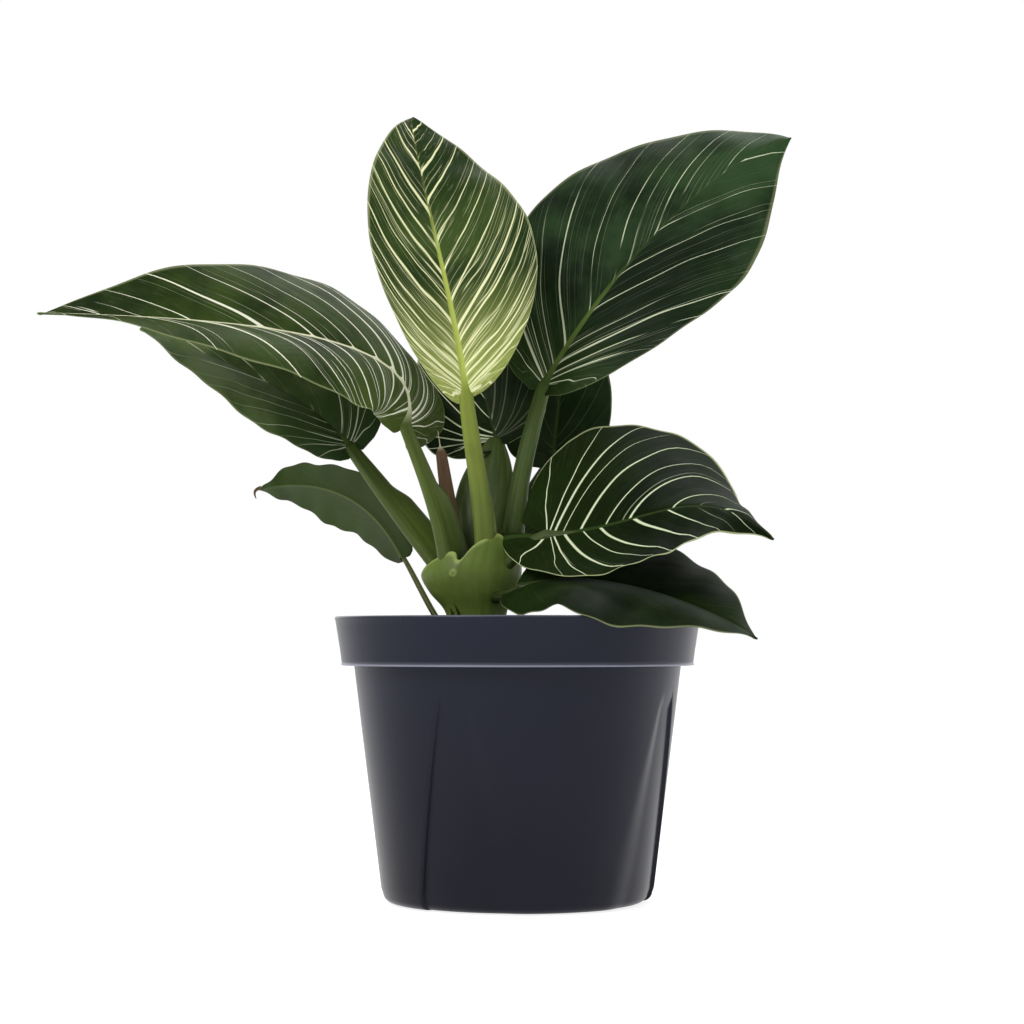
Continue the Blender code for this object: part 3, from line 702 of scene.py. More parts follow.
def blade(name, leaf, place, seed):
    """A leaf blade with impressed side veins, a grooved rib above and a raised rib below."""
    rib = [place(point) for point in leaf["rib"]]
    look = LOOKS[leaf["look"]]
    shares, reaches, across, rows = blade_grid(leaf, rib)
    size = np.abs(across)
    side_seed = np.where(across > 0, seed, seed + 5.0)
    veins = look["layers"][0][0][0]
    pleat = np.abs(np.sin(np.pi * (rows * veins + 0.15 * np.sin(rows * 40 + side_seed)))) ** 0.7 - 0.6
    lift = VEIN_RELIEF * pleat * np.sin(np.pi * np.clip(size, 0, 1)) ** 0.6 * look.get("pleat", 1.0)
    for height, waves, weight in MARGIN_WAVES:
        lift += height * size ** 2 * np.sin(2 * np.pi * waves * shares + weight * side_seed)
    middle = bend(leaf, rib, shares, reaches, lift)
    along_rows = np.gradient(middle, axis=0)
    along_columns = np.gradient(middle, axis=1)
    normals = np.cross(along_columns, along_rows)
    lengths = np.linalg.norm(normals, axis=-1, keepdims=True)
    normals = np.where(lengths > 1e-12, normals / np.maximum(lengths, 1e-12), 0.0)
    normals[-1, :] = normals[-2, BLADE_COLUMNS]
    along = np.linspace(0, 1, BLADE_ROWS + 1)[:, None]

    def beside_rib(height, half, loss):
        return height * np.exp(-((np.abs(reaches) / half) ** 2)) * (1 - loss * along)

    half_thick = 0.5 * BLADE_THICKNESS * (1 - 0.75 * size ** 8)
    top = middle + normals * (half_thick - beside_rib(*RIB_GROOVE))[..., None]
    bottom = middle - normals * (half_thick + beside_rib(*RIB_RIDGE))[..., None]
    points = np.concatenate((to_tip(top), to_tip(bottom)))
    surface = blade_material(name, leaf["look"], seed)
    obj = mesh_object("blade_" + name, points, blade_faces(*across.shape), surface)

    mesh = obj.data
    layer = len(points) // 2
    corners, face_of = corners_of(mesh)
    corners = corners % layer
    columns = across.shape[1]
    leftmost = np.where(corners == layer - 1, 2 * columns, corners % columns)
    starts = np.searchsorted(face_of, np.arange(len(mesh.polygons)))
    on_left = np.minimum.reduceat(leftmost, starts)[face_of] < BLADE_COLUMNS
    add_uv(mesh, VEINS_UV, to_tip(size)[corners], to_tip(rows)[corners] + np.where(on_left, LEFT_ROWS, 0.0))
    add_uv(mesh, SHAPE_UV, to_tip(reaches / UV_SPAN + 0.5)[corners], to_tip(shares)[corners])
    mark_points(mesh, "under", np.repeat((0.0, 1.0), layer))
    mark_points(mesh, "pitch", np.tile(to_tip(vein_pitch(along_rows, along_columns, rows)), 2))
    return stand_for(obj, "leaf_" + name, leaf["slot"])


# ---------------------------------------------------------------- stalks and dried sheath

STALK_RINGS = 60
STALK_SIDES = 32
FOOT_REACH = 0.010                 # how far a stalk runs on down inside the crown
RIB_REACH = 0.16                   # how far along the blade a stalk runs out as its rib
RIB_RINGS = 14
# each stalk's tones at foot and top, and the strength of the pale edge on its right side
STALK_TONES = {
    "young": (srgb(92, 108, 40), srgb(122, 136, 52), 0.90),
    "right_upper": (srgb(58, 78, 30), srgb(64, 84, 36), 0.10),
    "left_long": (srgb(74, 92, 38), srgb(84, 100, 42), 0.15),
    "left_back": (srgb(78, 94, 36), srgb(62, 78, 33), 0.15),
    "left_low": (srgb(62, 70, 22), srgb(70, 78, 26), 0.0),
    "right_curled": (srgb(50, 66, 26), srgb(54, 70, 30), 0.0),
    "right_back": (srgb(34, 48, 22), srgb(42, 56, 26), 0.0),
    "centre_back": (srgb(52, 68, 26), srgb(60, 76, 32), 0.0),
    "over_rim": (srgb(36, 50, 20), srgb(40, 54, 24), 0.0),
}
# the sheath's wing on a stalk's right side: how wide it is and where along the stalk it ends
STALK_WINGS = {
    "young": (0.0008, 0.35), "left_long": (0.0042, 0.52),
    "left_back": (0.0034, 0.62), "right_upper": (0.0010, 0.40),
}
PLAIN_STALK_EDGE = 0.965           # where round the stalk the pale edge runs, as a share of a turn


def stalk_material(name, rib_tone):
    """Smooth green skin with fine length-wise streaks, darker at the foot, one edge paler."""
    foot, top, edge = STALK_TONES[name]
    graph = Graph("stalk_" + name)
    around, along = graph.uv(SHAPE_UV)
    streak = graph.streaks(around * 22.0, along * 2.0, 3.0)
    cloud = graph.noise(graph.place(), 120.0, 3.0)
    tone = graph.mix(along.ramp(0.0, 0.9), foot, top)
    tone = graph.mix(along.ramp(1.0, 1.12), tone, rib_tone)
    tone = graph.mix(streak.ramp(0.40, 0.75, 0.0, 0.22), tone, srgb(132, 148, 66))
    tone = graph.mix(cloud.ramp(0.50, 0.75, 0.0, 0.20), tone, srgb(60, 74, 26))
    if edge:
        off_edge = abs(around - PLAIN_STALK_EDGE)
        tone = graph.mix(off_edge.ramp(0.045, 0.012) * edge, tone, srgb(232, 234, 184))
    graph.bump(streak + cloud * 0.4, 0.14, 0.0005)
    return graph.finish(tone, cloud.ramp(0.2, 0.8, 0.38, 0.50), 0.25)


def tube(name, centres, ways, faces_at, lefts, rights, depths, alongs, surface):
    """A closed oval tube through rings given by their middles, headings and half widths."""
    across = unit(np.cross(ways, unit(faces_at)))
    up = np.cross(across, ways)
    points = []
    for centre, side, rise, left, right, depth in zip(centres, across, up, lefts, rights, depths):
        for turn in np.linspace(0, 2 * math.pi, STALK_SIDES, endpoint=False):
            reach = right if math.cos(turn) > 0 else left
            channel = 0.14 * depth * math.exp(-((math.cos(turn) / 0.35) ** 2)) * (math.sin(turn) > 0)
            points.append(centre + side * reach * math.cos(turn) + rise * (depth * math.sin(turn) - channel))
    rings = len(centres)
    obj = mesh_object(name, points, capped_faces(rings, STALK_SIDES), surface)
    corners, face_of = corners_of(obj.data)
    rows, spots = np.divmod(corners, STALK_SIDES)
    closing = (face_of < (rings - 1) * STALK_SIDES) & (face_of % STALK_SIDES == STALK_SIDES - 1)
    add_uv(obj.data, SHAPE_UV, np.where(closing & (spots == 0), 1.0, spots / STALK_SIDES), alongs[rows])
    return obj


def plain_tube(name, line, face, halves, depths, alongs):
    """A dry brown tube along a cubic curve, with a row of half widths and depths."""
    shares = np.linspace(0, 1, len(halves))
    centres = along_curve(line, shares)
    faces_at = np.tile(face, (len(shares), 1))
    ways = heading(line, shares)
    return tube(name, centres, ways, faces_at, halves, halves, depths, alongs, dry_material())


def step_down(values, end, width):
    """1 below the end value and 0 above it, with a smooth step of the given width."""
    return smooth(np.clip((end - values) / width, 0, 1))


def stalk(name, leaf, place):
    """A stalk from inside the crown to the blade's foot, running out along the blade as its rib."""
    rib = [place(point) for point in leaf["rib"]]
    line = [at_rim(point) for point in leaf["stalk"]] + [rib[0]]
    foot, middle, top = leaf["radii"]
    shares = np.linspace(0, 1, STALK_RINGS + 1)
    rest = 1 - shares
    halves = foot * rest * rest + (4 * middle - foot - top) * rest * shares + top * shares * shares
    depths = halves * (leaf["flat"] + (0.8 - leaf["flat"]) * shares ** 6)
    wing, wing_end = STALK_WINGS.get(name, (0.0, 1.0))
    rights = halves + wing * step_down(shares, wing_end, 0.16) * (1 - 0.3 * shares)
    centres = along_curve(line, shares)
    ways = heading(line, shares)
    first_face, last_face = (unit(np.array(face, float)) for face in leaf["face"])
    sunk = np.linspace(-1, 0, 7)[:-1]
    on_blade = np.linspace(0, RIB_REACH, RIB_RINGS + 1)[1:]
    fade = on_blade / RIB_REACH
    blend = np.minimum(fade * 3, 1)[:, None]
    rib_ways = unit(ways[-1] * (1 - blend) + heading(rib, on_blade) * blend)
    rib_faces = first_face + (last_face - first_face) * on_blade[:, None]
    rib_ups = unit(rib_faces - rib_ways * (rib_faces * rib_ways).sum(-1, keepdims=True))
    rib_halves = top * (1 - 0.78 * fade ** 0.8)
    rib_depths = rib_halves * 0.8
    rib_centres = along_curve(rib, on_blade) - rib_ups * (rib_depths * (0.15 + 0.95 * fade ** 0.7))[:, None]

    def chain(body, on_rib):
        """The sunk foot, which repeats the body's first ring, then the body and the rib."""
        return np.concatenate((np.repeat(body[:1], len(sunk), axis=0), body, on_rib))

    feet = centres[0] + ways[0] * sunk[:, None] * FOOT_REACH
    obj = tube(
        "stalk_skin_" + name, np.concatenate((feet, centres, rib_centres)), chain(ways, rib_ways),
        chain(np.tile(first_face, (len(shares), 1)), rib_faces), chain(halves, rib_halves),
        chain(rights, rib_halves), chain(depths, rib_depths), chain(shares, 1 + fade * 0.2),
        stalk_material(name, LOOKS[leaf["look"]]["rib"]))
    return stand_for(obj, "stalk_" + name, "stalk_green")


HUSK_FOOT = (-0.026, 0.003, 0.030)
HUSK_BEND = (-0.029, 0.004, 0.050)
HUSK_TIP = (-0.033, 0.004, 0.077)
HUSK_HALF = 0.0031


def dry_material():
    graph = Graph("dry_sheath")
    around, along = graph.uv(SHAPE_UV)
    fibre = graph.streaks(around * 40.0, along * 4.0, 4.0)
    tone = graph.mix(fibre, srgb(60, 42, 28), srgb(132, 104, 76))
    tone = graph.mix(along.ramp(0.78, 0.86), tone, srgb(216, 212, 178))
    graph.bump(fibre, 0.5, 0.0006)
    return graph.finish(tone, 0.78, 0.3)


def dried_sheath():
    """A thin papery blade, brown with a pale spiked tip."""
    foot, bend_low, tip = (np.array(at_rim(point)) for point in (HUSK_FOOT, HUSK_BEND, HUSK_TIP))
    shares = np.linspace(0, 1, STALK_RINGS + 1)
    halves = HUSK_HALF * (1 - 0.45 * shares) * step_down(shares, 0.86, 0.10) + 0.0007 * (1 - shares) + 0.0001
    line = [foot, bend_low, (bend_low + tip) / 2, tip]
    obj = plain_tube("husk_skin", line, (0.2, -1.0, 0.1), halves, halves * 0.35, shares)
    return stand_for(obj, "dried_sheath", "dry_brown")


def leaf_tip_hook(leaf):
    """The shrivelled dark end of a leaf, a short tapering hook."""
    bend_high, tip = (np.array(at_rim(point)) for point in leaf["rib"][2:])
    way = unit(tip - bend_high)
    line = [
        tip - way * 0.002, tip + way * 0.0012,
        tip + way * 0.0016 + (0, 0, -0.0012), tip + way * 0.0002 + (0, 0, -0.0042)]
    shares = np.linspace(0, 1, STALK_RINGS // 3)
    halves = 0.0007 * (1 - shares) ** 0.6 + 0.0001
    obj = plain_tube("leaf_left_low_dry_end", line, (0.1, -1.0, 0.1), halves, halves, shares * 0.5)
    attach(obj, BODY)


# ---------------------------------------------------------------- crown

# height over the rim plane, centre x and y, half width along x and y
CROWN_RINGS = (
    (-0.030, -0.0165, 0.000, 0.0115, 0.0105),
    (-0.004, -0.0165, 0.000, 0.0115, 0.0105),
    (0.003, -0.0172, 0.000, 0.0130, 0.0115),
    (0.010, -0.0185, 0.000, 0.0175, 0.0135),
    (0.018, -0.0190, 0.000, 0.0206, 0.0150),
    (0.026, -0.0170, 0.001, 0.0178, 0.0145),
    (0.034, -0.0145, 0.001, 0.0120, 0.0110),
)
# the upper edge of the clasping sheaths: degrees round the crown from +X, height over the rim plane
CROWN_EDGE = (
    (0, 0.0245), (30, 0.026), (60, 0.029), (90, 0.030), (120, 0.029),
    (150, 0.025), (180, 0.0168), (202, 0.0212),
    (220, 0.0240), (236, 0.0256), (244, 0.0246), (250, 0.0222), (254, 0.0222), (261, 0.0270), (270, 0.0296),
    (280, 0.0312), (299, 0.0333), (311, 0.0325), (325, 0.0300), (342, 0.0262), (360, 0.0245),
)
CROWN_SIDES = 220
CROWN_WALL_ROWS = 70
CROWN_MIDDLE_X = -0.0165
CUP_DEEPEST = 0.012                # the cup's bottom over the rim plane
LIP = 0.0008                       # half thickness of the sheath's edge
SCAR_TURN, SCAR_HEIGHT, SCAR_SIZE = 250.0, 0.0175, 0.0013
SCAR_REACH = 0.00033               # metres along the crown's wall for each degree, near the scar


def smooth_through(x, xs, ys):
    """A smooth curve through given values, without overshoot where neighbours are equal."""
    xs, ys = np.array(xs, float), np.array(ys, float)
    slopes = np.gradient(ys, xs)
    i = np.clip(np.searchsorted(xs, x, side="right") - 1, 0, len(xs) - 2)
    width = xs[i + 1] - xs[i]
    t = np.clip((x - xs[i]) / width, 0, 1)
    a, b = 2 * t ** 3 - 3 * t ** 2 + 1, t ** 3 - 2 * t ** 2 + t
    c, d = 3 * t ** 2 - 2 * t ** 3, t ** 3 - t ** 2
    return a * ys[i] + b * width * slopes[i] + c * ys[i + 1] + d * width * slopes[i + 1]


def crown_material():
    """Light green clasping sheaths with length-wise fibres and paler edges, partly lightened as a painted
    highlight, brown at the soil.
    """
    graph = Graph("crown_skin")
    place = graph.place()
    around, rise = graph.uv(SHAPE_UV)
    fibre = graph.streaks(around * 50.0, rise * 2.0, 4.0)
    cloud = graph.noise(place, 60.0, 4.0)
    tone = graph.mix(cloud.ramp(0.3, 0.7), srgb(88, 108, 44), srgb(104, 124, 54))
    tone = graph.mix(fibre.ramp(0.45, 0.80, 0.0, 0.22), tone, srgb(124, 142, 66))
    # the sheaths' pale edges, partly a painted highlight, and the pale ring round the scar
    tone = graph.mix(graph.attribute("edge") * 0.7, tone, srgb(162, 178, 100))
    low = graph.split(place)[2] + cloud.scaled(0.012, -0.006)
    tone = graph.mix(low.ramp(RIM_Z - 0.001, RIM_Z - 0.008), tone, srgb(52, 38, 22))
    graph.bump(fibre + cloud, 0.16, 0.0005)
    return graph.finish(tone, cloud.ramp(0.2, 0.8, 0.42, 0.56), 0.22)


def crown_point(turn, height, inset):
    """A point on the crown's wall at an angle in degrees and a height over the rim plane."""
    heights, *columns = zip(*CROWN_RINGS)
    x, y, wide, deep = (float(smooth_through(height, heights, values)) for values in columns)
    angle = math.radians(turn)
    ribs = 0.00005 * math.sin(angle * 27 + 2 * math.sin(angle * 3))
    ribs += 0.0003 * math.sin(angle * 4 + 150 * height)
    off_scar = ((turn - SCAR_TURN) * math.pi / 180 * wide) ** 2 + (height - SCAR_HEIGHT) ** 2
    boss = 0.0007 * math.exp(-off_scar / SCAR_SIZE ** 2)
    boss -= 0.0005 * math.exp(-off_scar / (0.45 * SCAR_SIZE) ** 2)
    wide, deep = (half + ribs + boss - inset for half in (wide, deep))
    return x + wide * math.cos(angle), y + deep * math.sin(angle), RIM_Z + height


def crown():
    """The swollen base of the stalks: a cup of clasping sheaths with a wavy, rounded upper edge."""
    low = CROWN_RINGS[0][0]
    points, marks = [], []
    # the wall, then the rounded edge, then down into the cup: share of the height, drop and inset
    profile = [(share, 0.0, 0.0) for share in np.linspace(0, 1, CROWN_WALL_ROWS) ** 0.9]
    for angle in map(math.radians, (30, 60, 90, 120, 150, 180)):
        profile.append((1.0, -LIP * math.sin(angle), LIP * (1 - math.cos(angle))))
    profile += [(1.0, 0.003, 0.0022), (1.0, 0.006, 0.0036), (1.0, 0.008, 0.0060)]
    turns = [360 * j / CROWN_SIDES for j in range(CROWN_SIDES)]
    tops = smooth_through(np.array(turns), *zip(*CROWN_EDGE))
    for share, drop, inset in profile:
        for turn, top in zip(turns, tops):
            height = low + (top - low) * share - drop
            points.append(crown_point(turn, height, inset))
            # the top of the outer wall is marked for the pale edge, partly a painted highlight
            edge = max(0.0, 1 - (top - height) / 0.0016) if drop <= 0.0 else 0.0
            scar = math.hypot((turn - SCAR_TURN) * SCAR_REACH, height - SCAR_HEIGHT)
            ring = math.exp(-(((scar - SCAR_SIZE * 0.8) / 0.0005) ** 2))
            marks.append(max(edge, 0.9 * ring))
    rows = len(profile)
    faces = wall_faces(rows, CROWN_SIDES)
    last = (rows - 1) * CROWN_SIDES
    points += [(CROWN_MIDDLE_X, 0.001, RIM_Z + CUP_DEEPEST), (CROWN_MIDDLE_X, 0.0, RIM_Z + low)]
    marks += [0.0, 0.0]
    for j in range(CROWN_SIDES):
        k = (j + 1) % CROWN_SIDES
        faces.append((last + j, last + k, len(points) - 2))
        faces.append((k, j, len(points) - 1))
    obj = mesh_object("crown_skin", points, faces, crown_material(), 80)
    row, spot = np.divmod(np.minimum(corners_of(obj.data)[0], last + CROWN_SIDES - 1), CROWN_SIDES)
    add_uv(obj.data, SHAPE_UV, np.abs(2 * spot / CROWN_SIDES - 1), row / (rows - 1))
    mark_points(obj.data, "edge", marks)
    stand_for(obj, "crown", "crown_green")
    crown_scales()


SCALE_COUNT = 15
SCALE_ROWS = 8
SCALE_COLUMNS = 6
SCALE_FOOT = -0.024                # height over the rim plane
SCALE_THICKNESS = 0.00045
SCALE_GAP = 0.0004                 # how far the scales stand off the crown


def scale_material():
    graph = Graph("crown_dry_scales")
    fibre = graph.noise(graph.place(), 700.0, 3.0)
    tone = graph.mix(fibre.ramp(0.3, 0.7), srgb(30, 24, 14), srgb(64, 52, 30))
    graph.bump(fibre, 0.4, 0.0005)
    return graph.finish(tone, 0.8, 0.2)


def crown_scales():
    """Torn brown sheath remnants that cling to the foot of the crown."""
    draw = np.random.default_rng(3)
    points, faces = [], []
    line = SCALE_COLUMNS + 1
    shift = (SCALE_ROWS + 1) * line
    for i in range(SCALE_COUNT):
        turn = 360 * i / SCALE_COUNT + draw.uniform(-8, 8)
        half = draw.uniform(9, 15)
        top = draw.uniform(-0.002, 0.001) + (0.005 if 200 < turn < 240 else 0.0)
        lean = draw.uniform(-6, 6)
        flare = draw.uniform(0.0002, 0.0007)
        start = len(points)
        for side in (0.0, SCALE_THICKNESS):
            for row in range(SCALE_ROWS + 1):
                rise = row / SCALE_ROWS
                for column in range(line):
                    across = 2 * column / SCALE_COLUMNS - 1
                    angle = turn + across * half * (1 - rise ** 1.6) + lean * rise
                    height = SCALE_FOOT + (top - SCALE_FOOT) * rise
                    points.append(crown_point(angle, height, -SCALE_GAP - flare * rise ** 3 - side))
        for row in range(SCALE_ROWS):
            for a in range(start + row * line, start + row * line + SCALE_COLUMNS):
                b, c, d = a + 1, a + line + 1, a + line
                faces.append((d, c, b, a))
                faces.append((a + shift, b + shift, c + shift, d + shift))
        left = range(start, start + SCALE_ROWS * line, line)
        right = range(start + SCALE_COLUMNS, start + SCALE_ROWS * line, line)
        foot = range(start, start + line)
        head = range(start + SCALE_ROWS * line, start + shift)
        for edge in ((*left, head[0])[::-1], head[::-1], (*right, head[-1]), foot):
            for a, b in zip(edge, edge[1:]):
                faces.append((a, b, b + shift, a + shift))
    obj = mesh_object("crown_dry_scales", points, faces, scale_material())
    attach(obj, BODY)


# ---------------------------------------------------------------- pot and soil

SHARP_EDGE = math.radians(0.7)     # width of a flute's sharp shoulder
SOFT_EDGE = math.radians(15)       # and of its soft one
PLAIN_COLUMNS = 16
EDGE_COLUMNS = 8
FLUTE_COLUMNS = 24
FLUTE_FADE = 0.10                  # the share of the flute's height over which its top runs out


def around_pot(reach, turn):
    """The place at a reach from the pot's axis and an angle from the front towards +X."""
    return reach * math.sin(turn), -reach * math.cos(turn)


def turn_columns(z):
    """Angles round the pot and how deep in a flute each is: columns follow the flutes' shoulders.

    The flutes are mirrored in turn, so that each has its sharp shoulder away from its neighbour's.
    """
    half = FLUTE_HALF_ANGLE + (FLUTE_TOP_HALF_ANGLE - FLUTE_HALF_ANGLE) * z / FLUTE_APEX_Z
    pitch = 2 * math.pi / FLUTE_COUNT
    turns, depths = [], []
    for k in range(FLUTE_COUNT):
        edges = (SHARP_EDGE, SOFT_EDGE) if k % 2 == 0 else (SOFT_EDGE, SHARP_EDGE)
        left, right = (min(edge, half * 0.9) for edge in edges)
        for a, b, count, low, high in (
            (-pitch / 2, -half - left / 2, PLAIN_COLUMNS, 0, 0),
            (-half - left / 2, -half + left / 2, EDGE_COLUMNS, 0, 1),
            (-half + left / 2, half - right / 2, FLUTE_COLUMNS, 1, 1),
            (half - right / 2, half + right / 2, EDGE_COLUMNS, 1, 0),
            (half + right / 2, pitch / 2, PLAIN_COLUMNS, 0, 0),
        ):
            for i in range(count):
                share = i / count
                turns.append(FLUTE_FIRST + k * pitch + a + (b - a) * share)
                depths.append(low + (high - low) * smooth(share))
    return turns, depths


def pot_ring(radius, z):
    """One turn of the pot's wall, stepped in where the flutes are."""
    rise = min(max(z, 0.0) / FLUTE_APEX_Z, 1.0)
    depth = (FLUTE_DEPTH + (FLUTE_DEPTH_TOP - FLUTE_DEPTH) * rise) * smooth(min((1 - rise) / FLUTE_FADE, 1.0))
    columns = zip(*turn_columns(min(z, FLUTE_APEX_Z)))
    return [(*around_pot(radius - depth * share, turn), z) for turn, share in columns]


def round_corner(radius, z, size, first, last, steps):
    """Points of an arc in the wall's section: centre, size and the angles in degrees."""
    for i in range(steps + 1):
        turn = math.radians(first + (last - first) * i / steps)
        yield radius + size * math.cos(turn), z + size * math.sin(turn)


def body_radius(z):
    return BASE_RADIUS + BODY_TAPER * z / LEDGE_Z


def pot_section():
    """The wall's section from the base's underside, up outside, over the rim and down inside."""
    section = [(body_radius(0) * share, 0.0) for share in (0.25, 0.55, 0.8)]
    section += round_corner(body_radius(0) - CORNER, CORNER, CORNER, -90, -6, 7)
    section += [(body_radius(z), z) for z in np.linspace(CORNER * 1.4, FLUTE_APEX_Z, 34)]
    section += [(body_radius(z), z) for z in (FLUTE_APEX_Z + 0.003, LEDGE_Z - 0.0012, LEDGE_Z - 0.0004)]
    section += [(BODY_TOP_RADIUS + 0.0006, LEDGE_Z), (COLLAR_FOOT_RADIUS - 0.0010, LEDGE_Z)]
    section += round_corner(COLLAR_FOOT_RADIUS - 0.0002, LEDGE_Z + 0.0006, 0.0006, -90, 60, 6)
    for share in np.linspace(0.10, 0.93, 7):
        section.append((COLLAR_FOOT_RADIUS + COLLAR_TAPER * share ** 1.15, LEDGE_Z + COLLAR_HEIGHT * share))
    section += round_corner(RIM_RADIUS - 0.0009, RIM_Z - 0.0009, 0.0009, -10, 170, 9)
    inside = COLLAR_FOOT_RADIUS - WALL
    section += [(RIM_RADIUS - WALL - 0.0001, RIM_Z - 0.002), (inside + 0.0002, LEDGE_Z + WALL + 0.001)]
    section += [(inside - 0.0008, LEDGE_Z + WALL), (BODY_TOP_RADIUS - WALL + 0.0006, LEDGE_Z + WALL)]
    section += [(body_radius(z) - WALL, z) for z in np.linspace(LEDGE_Z, FLOOR + 0.003, 12)]
    section += [((body_radius(0) - WALL - 0.002) * share, FLOOR) for share in (1.0, 0.75, 0.5, 0.2)]
    return section


def pot_material():
    """Slate blue-black moulded plastic: fine matt grain, faint flow marks and slight dulling, with painted
    shade that darkens it towards the base and a painted highlight along the collar's foot and the rim edge.
    """
    graph = Graph("pot_moulding")
    place = graph.place()
    cloud = graph.noise(place, 14.0, 4.0)
    grain = graph.noise(place, 900.0, 2.0)
    # painted shade: darker towards the base, lighter towards the rim
    tone = graph.mix(graph.split(place)[2].ramp(0.0, RIM_Z), srgb(15, 15, 27), srgb(24, 27, 42))
    tone = graph.mix(cloud.ramp(0.35, 0.7, 0.0, 0.30), tone, srgb(28, 31, 48))
    # painted highlight: the collar's foot edge and the rim edge lightened towards pale grey
    tone = graph.mix(graph.attribute("painted_highlight") * 0.8, tone, srgb(150, 152, 168))
    streaks = graph.add("ShaderNodeMapping")
    streaks.inputs["Scale"].default_value = (90.0, 90.0, 6.0)
    scuff = graph.noise(graph.filled(streaks, place), 1.0, 5.0, 0.7)
    tone = graph.mix(scuff.ramp(0.66, 0.85, 0.0, 0.12), tone, srgb(48, 50, 68))
    graph.bump(grain * 0.6 + scuff, 0.06, 0.0004)
    return graph.finish(tone, scuff.ramp(0.55, 0.8).scaled(0.08, cloud.scaled(0.12, 0.24)), 0.17)


def drain_holes(obj):
    """Cuts the ring of round holes in the pot's base."""
    shape = bmesh.new()
    for i in range(DRAIN_COUNT):
        made = bmesh.ops.create_cone(
            shape, cap_ends=True, segments=40, radius1=DRAIN_RADIUS, radius2=DRAIN_RADIUS, depth=4 * FLOOR)
        middle = around_pot(BASE_RADIUS - DRAIN_INSET, 2 * math.pi * (i + 0.5) / DRAIN_COUNT)
        bmesh.ops.translate(shape, vec=Vector((*middle, FLOOR / 2)), verts=made["verts"])
    mesh = bpy.data.meshes.new("drain_cutter")
    shape.to_mesh(mesh)
    shape.free()
    cutter = linked("drain_cutter", mesh)
    cut = obj.modifiers.new("drains", "BOOLEAN")
    cut.object = cutter
    bpy.context.view_layer.objects.active = obj
    bpy.ops.object.modifier_apply(modifier=cut.name)
    bpy.data.objects.remove(cutter)


def pot():
    section = pot_section()
    rings = [pot_ring(radius, z) for radius, z in section]
    count = len(rings[0])
    points = [point for ring in rings for point in ring]
    obj = mesh_object("pot_shell", points, capped_faces(len(rings), count), pot_material(), 50)
    # a painted highlight along the collar's foot edge and, weaker, along the rim's edge
    painted_highlights = []
    for radius, z in section:
        on_collar = radius > COLLAR_FOOT_RADIUS - 0.0006
        foot_highlight = max(0.0, 1 - abs(z - LEDGE_Z - 0.0004) / 0.0009) if on_collar else 0.0
        rim_highlight = max(0.0, 1 - abs(z - RIM_Z) / 0.0008)
        painted_highlights += [max(foot_highlight, 0.6 * rim_highlight)] * count
    mark_points(obj.data, "painted_highlight", painted_highlights)
    drain_holes(obj)
    return stand_for(obj, "pot", "pot_plastic")


SOIL_RINGS = 70
SOIL_SIDES = 200
SOIL_EDGE_DROP = 0.0015            # how far the surface sinks where it meets the wall
SOIL_INSET = 0.0003
CRUMB_COUNT = 520


def soil_height(x, y):
    """Height of the soil's surface: low mounds, clods and a slight rise towards the crown."""
    near = math.exp(-(((x + 0.017) ** 2 + y ** 2) / 0.0005))
    broad = noise.noise(Vector((x * 45, y * 45, 3.1))) * 0.0016
    clod = noise.fractal(Vector((x * 260, y * 260, 7.7)), 0.8, 2.0, 4) * 0.0011
    return SOIL_Z + broad + clod + 0.0022 * near


def soil_material(name, dark, light):
    graph = Graph(name)
    place = graph.place()
    coarse = graph.noise(place, 160.0, 6.0, 0.7)
    fine = graph.noise(place, 900.0, 4.0, 0.7)
    tone = graph.mix(coarse.ramp(0.3, 0.7), dark, light)
    tone = graph.mix(fine.ramp(0.62, 0.72, 0.0, 0.5), tone, srgb(112, 84, 58))
    graph.bump(coarse + fine, 0.8, 0.0010)
    return graph.finish(tone, 0.94, 0.25)


def soil():
    """The soil block inside the pot with a crumbly surface, and loose bark and perlite on it."""
    rim = body_radius(SOIL_Z) - WALL - SOIL_INSET
    surface = soil_material("soil_peat", srgb(30, 22, 16), srgb(66, 48, 34))
    turns = [2 * math.pi * j / SOIL_SIDES for j in range(SOIL_SIDES)]
    points = []
    for i in range(SOIL_RINGS, 0, -1):
        edge = min((1 - i / SOIL_RINGS) / 0.06, 1.0)
        for turn in turns:
            x, y = around_pot(rim * i / SOIL_RINGS, turn)
            rise = (soil_height(x, y) - SOIL_Z + SOIL_EDGE_DROP) * edge
            points.append((x, y, SOIL_Z - SOIL_EDGE_DROP + rise))
    points.append((0.0, 0.0, soil_height(0.0, 0.0)))
    faces = wall_faces(SOIL_RINGS, SOIL_SIDES)
    last = (SOIL_RINGS - 1) * SOIL_SIDES
    faces += [(last + j, last + (j + 1) % SOIL_SIDES, len(points) - 1) for j in range(SOIL_SIDES)]
    base = len(points)
    low_radius = body_radius(0) - WALL - FLUTE_DEPTH - 0.001
    points += [(*around_pot(low_radius, turn), FLOOR + SOIL_INSET) for turn in turns]
    for j in range(SOIL_SIDES):
        k = (j + 1) % SOIL_SIDES
        faces.append((base + j, base + k, k, j))
    faces.append(tuple(range(base + SOIL_SIDES - 1, base - 1, -1)))
    bed = mesh_object("soil_bed", points, faces, surface, 80)
    stand_for(bed, "potting_soil", "soil")
    bark = soil_material("soil_bark", srgb(44, 30, 20), srgb(92, 66, 44))
    grains("soil_bark", CRUMB_COUNT, bark, (0.0008, 0.0030), rim, 5)
    perlite = soil_material("soil_perlite", srgb(176, 170, 156), srgb(222, 218, 206))
    grains("soil_perlite", CRUMB_COUNT // 6, perlite, (0.0007, 0.0016), rim, 9)


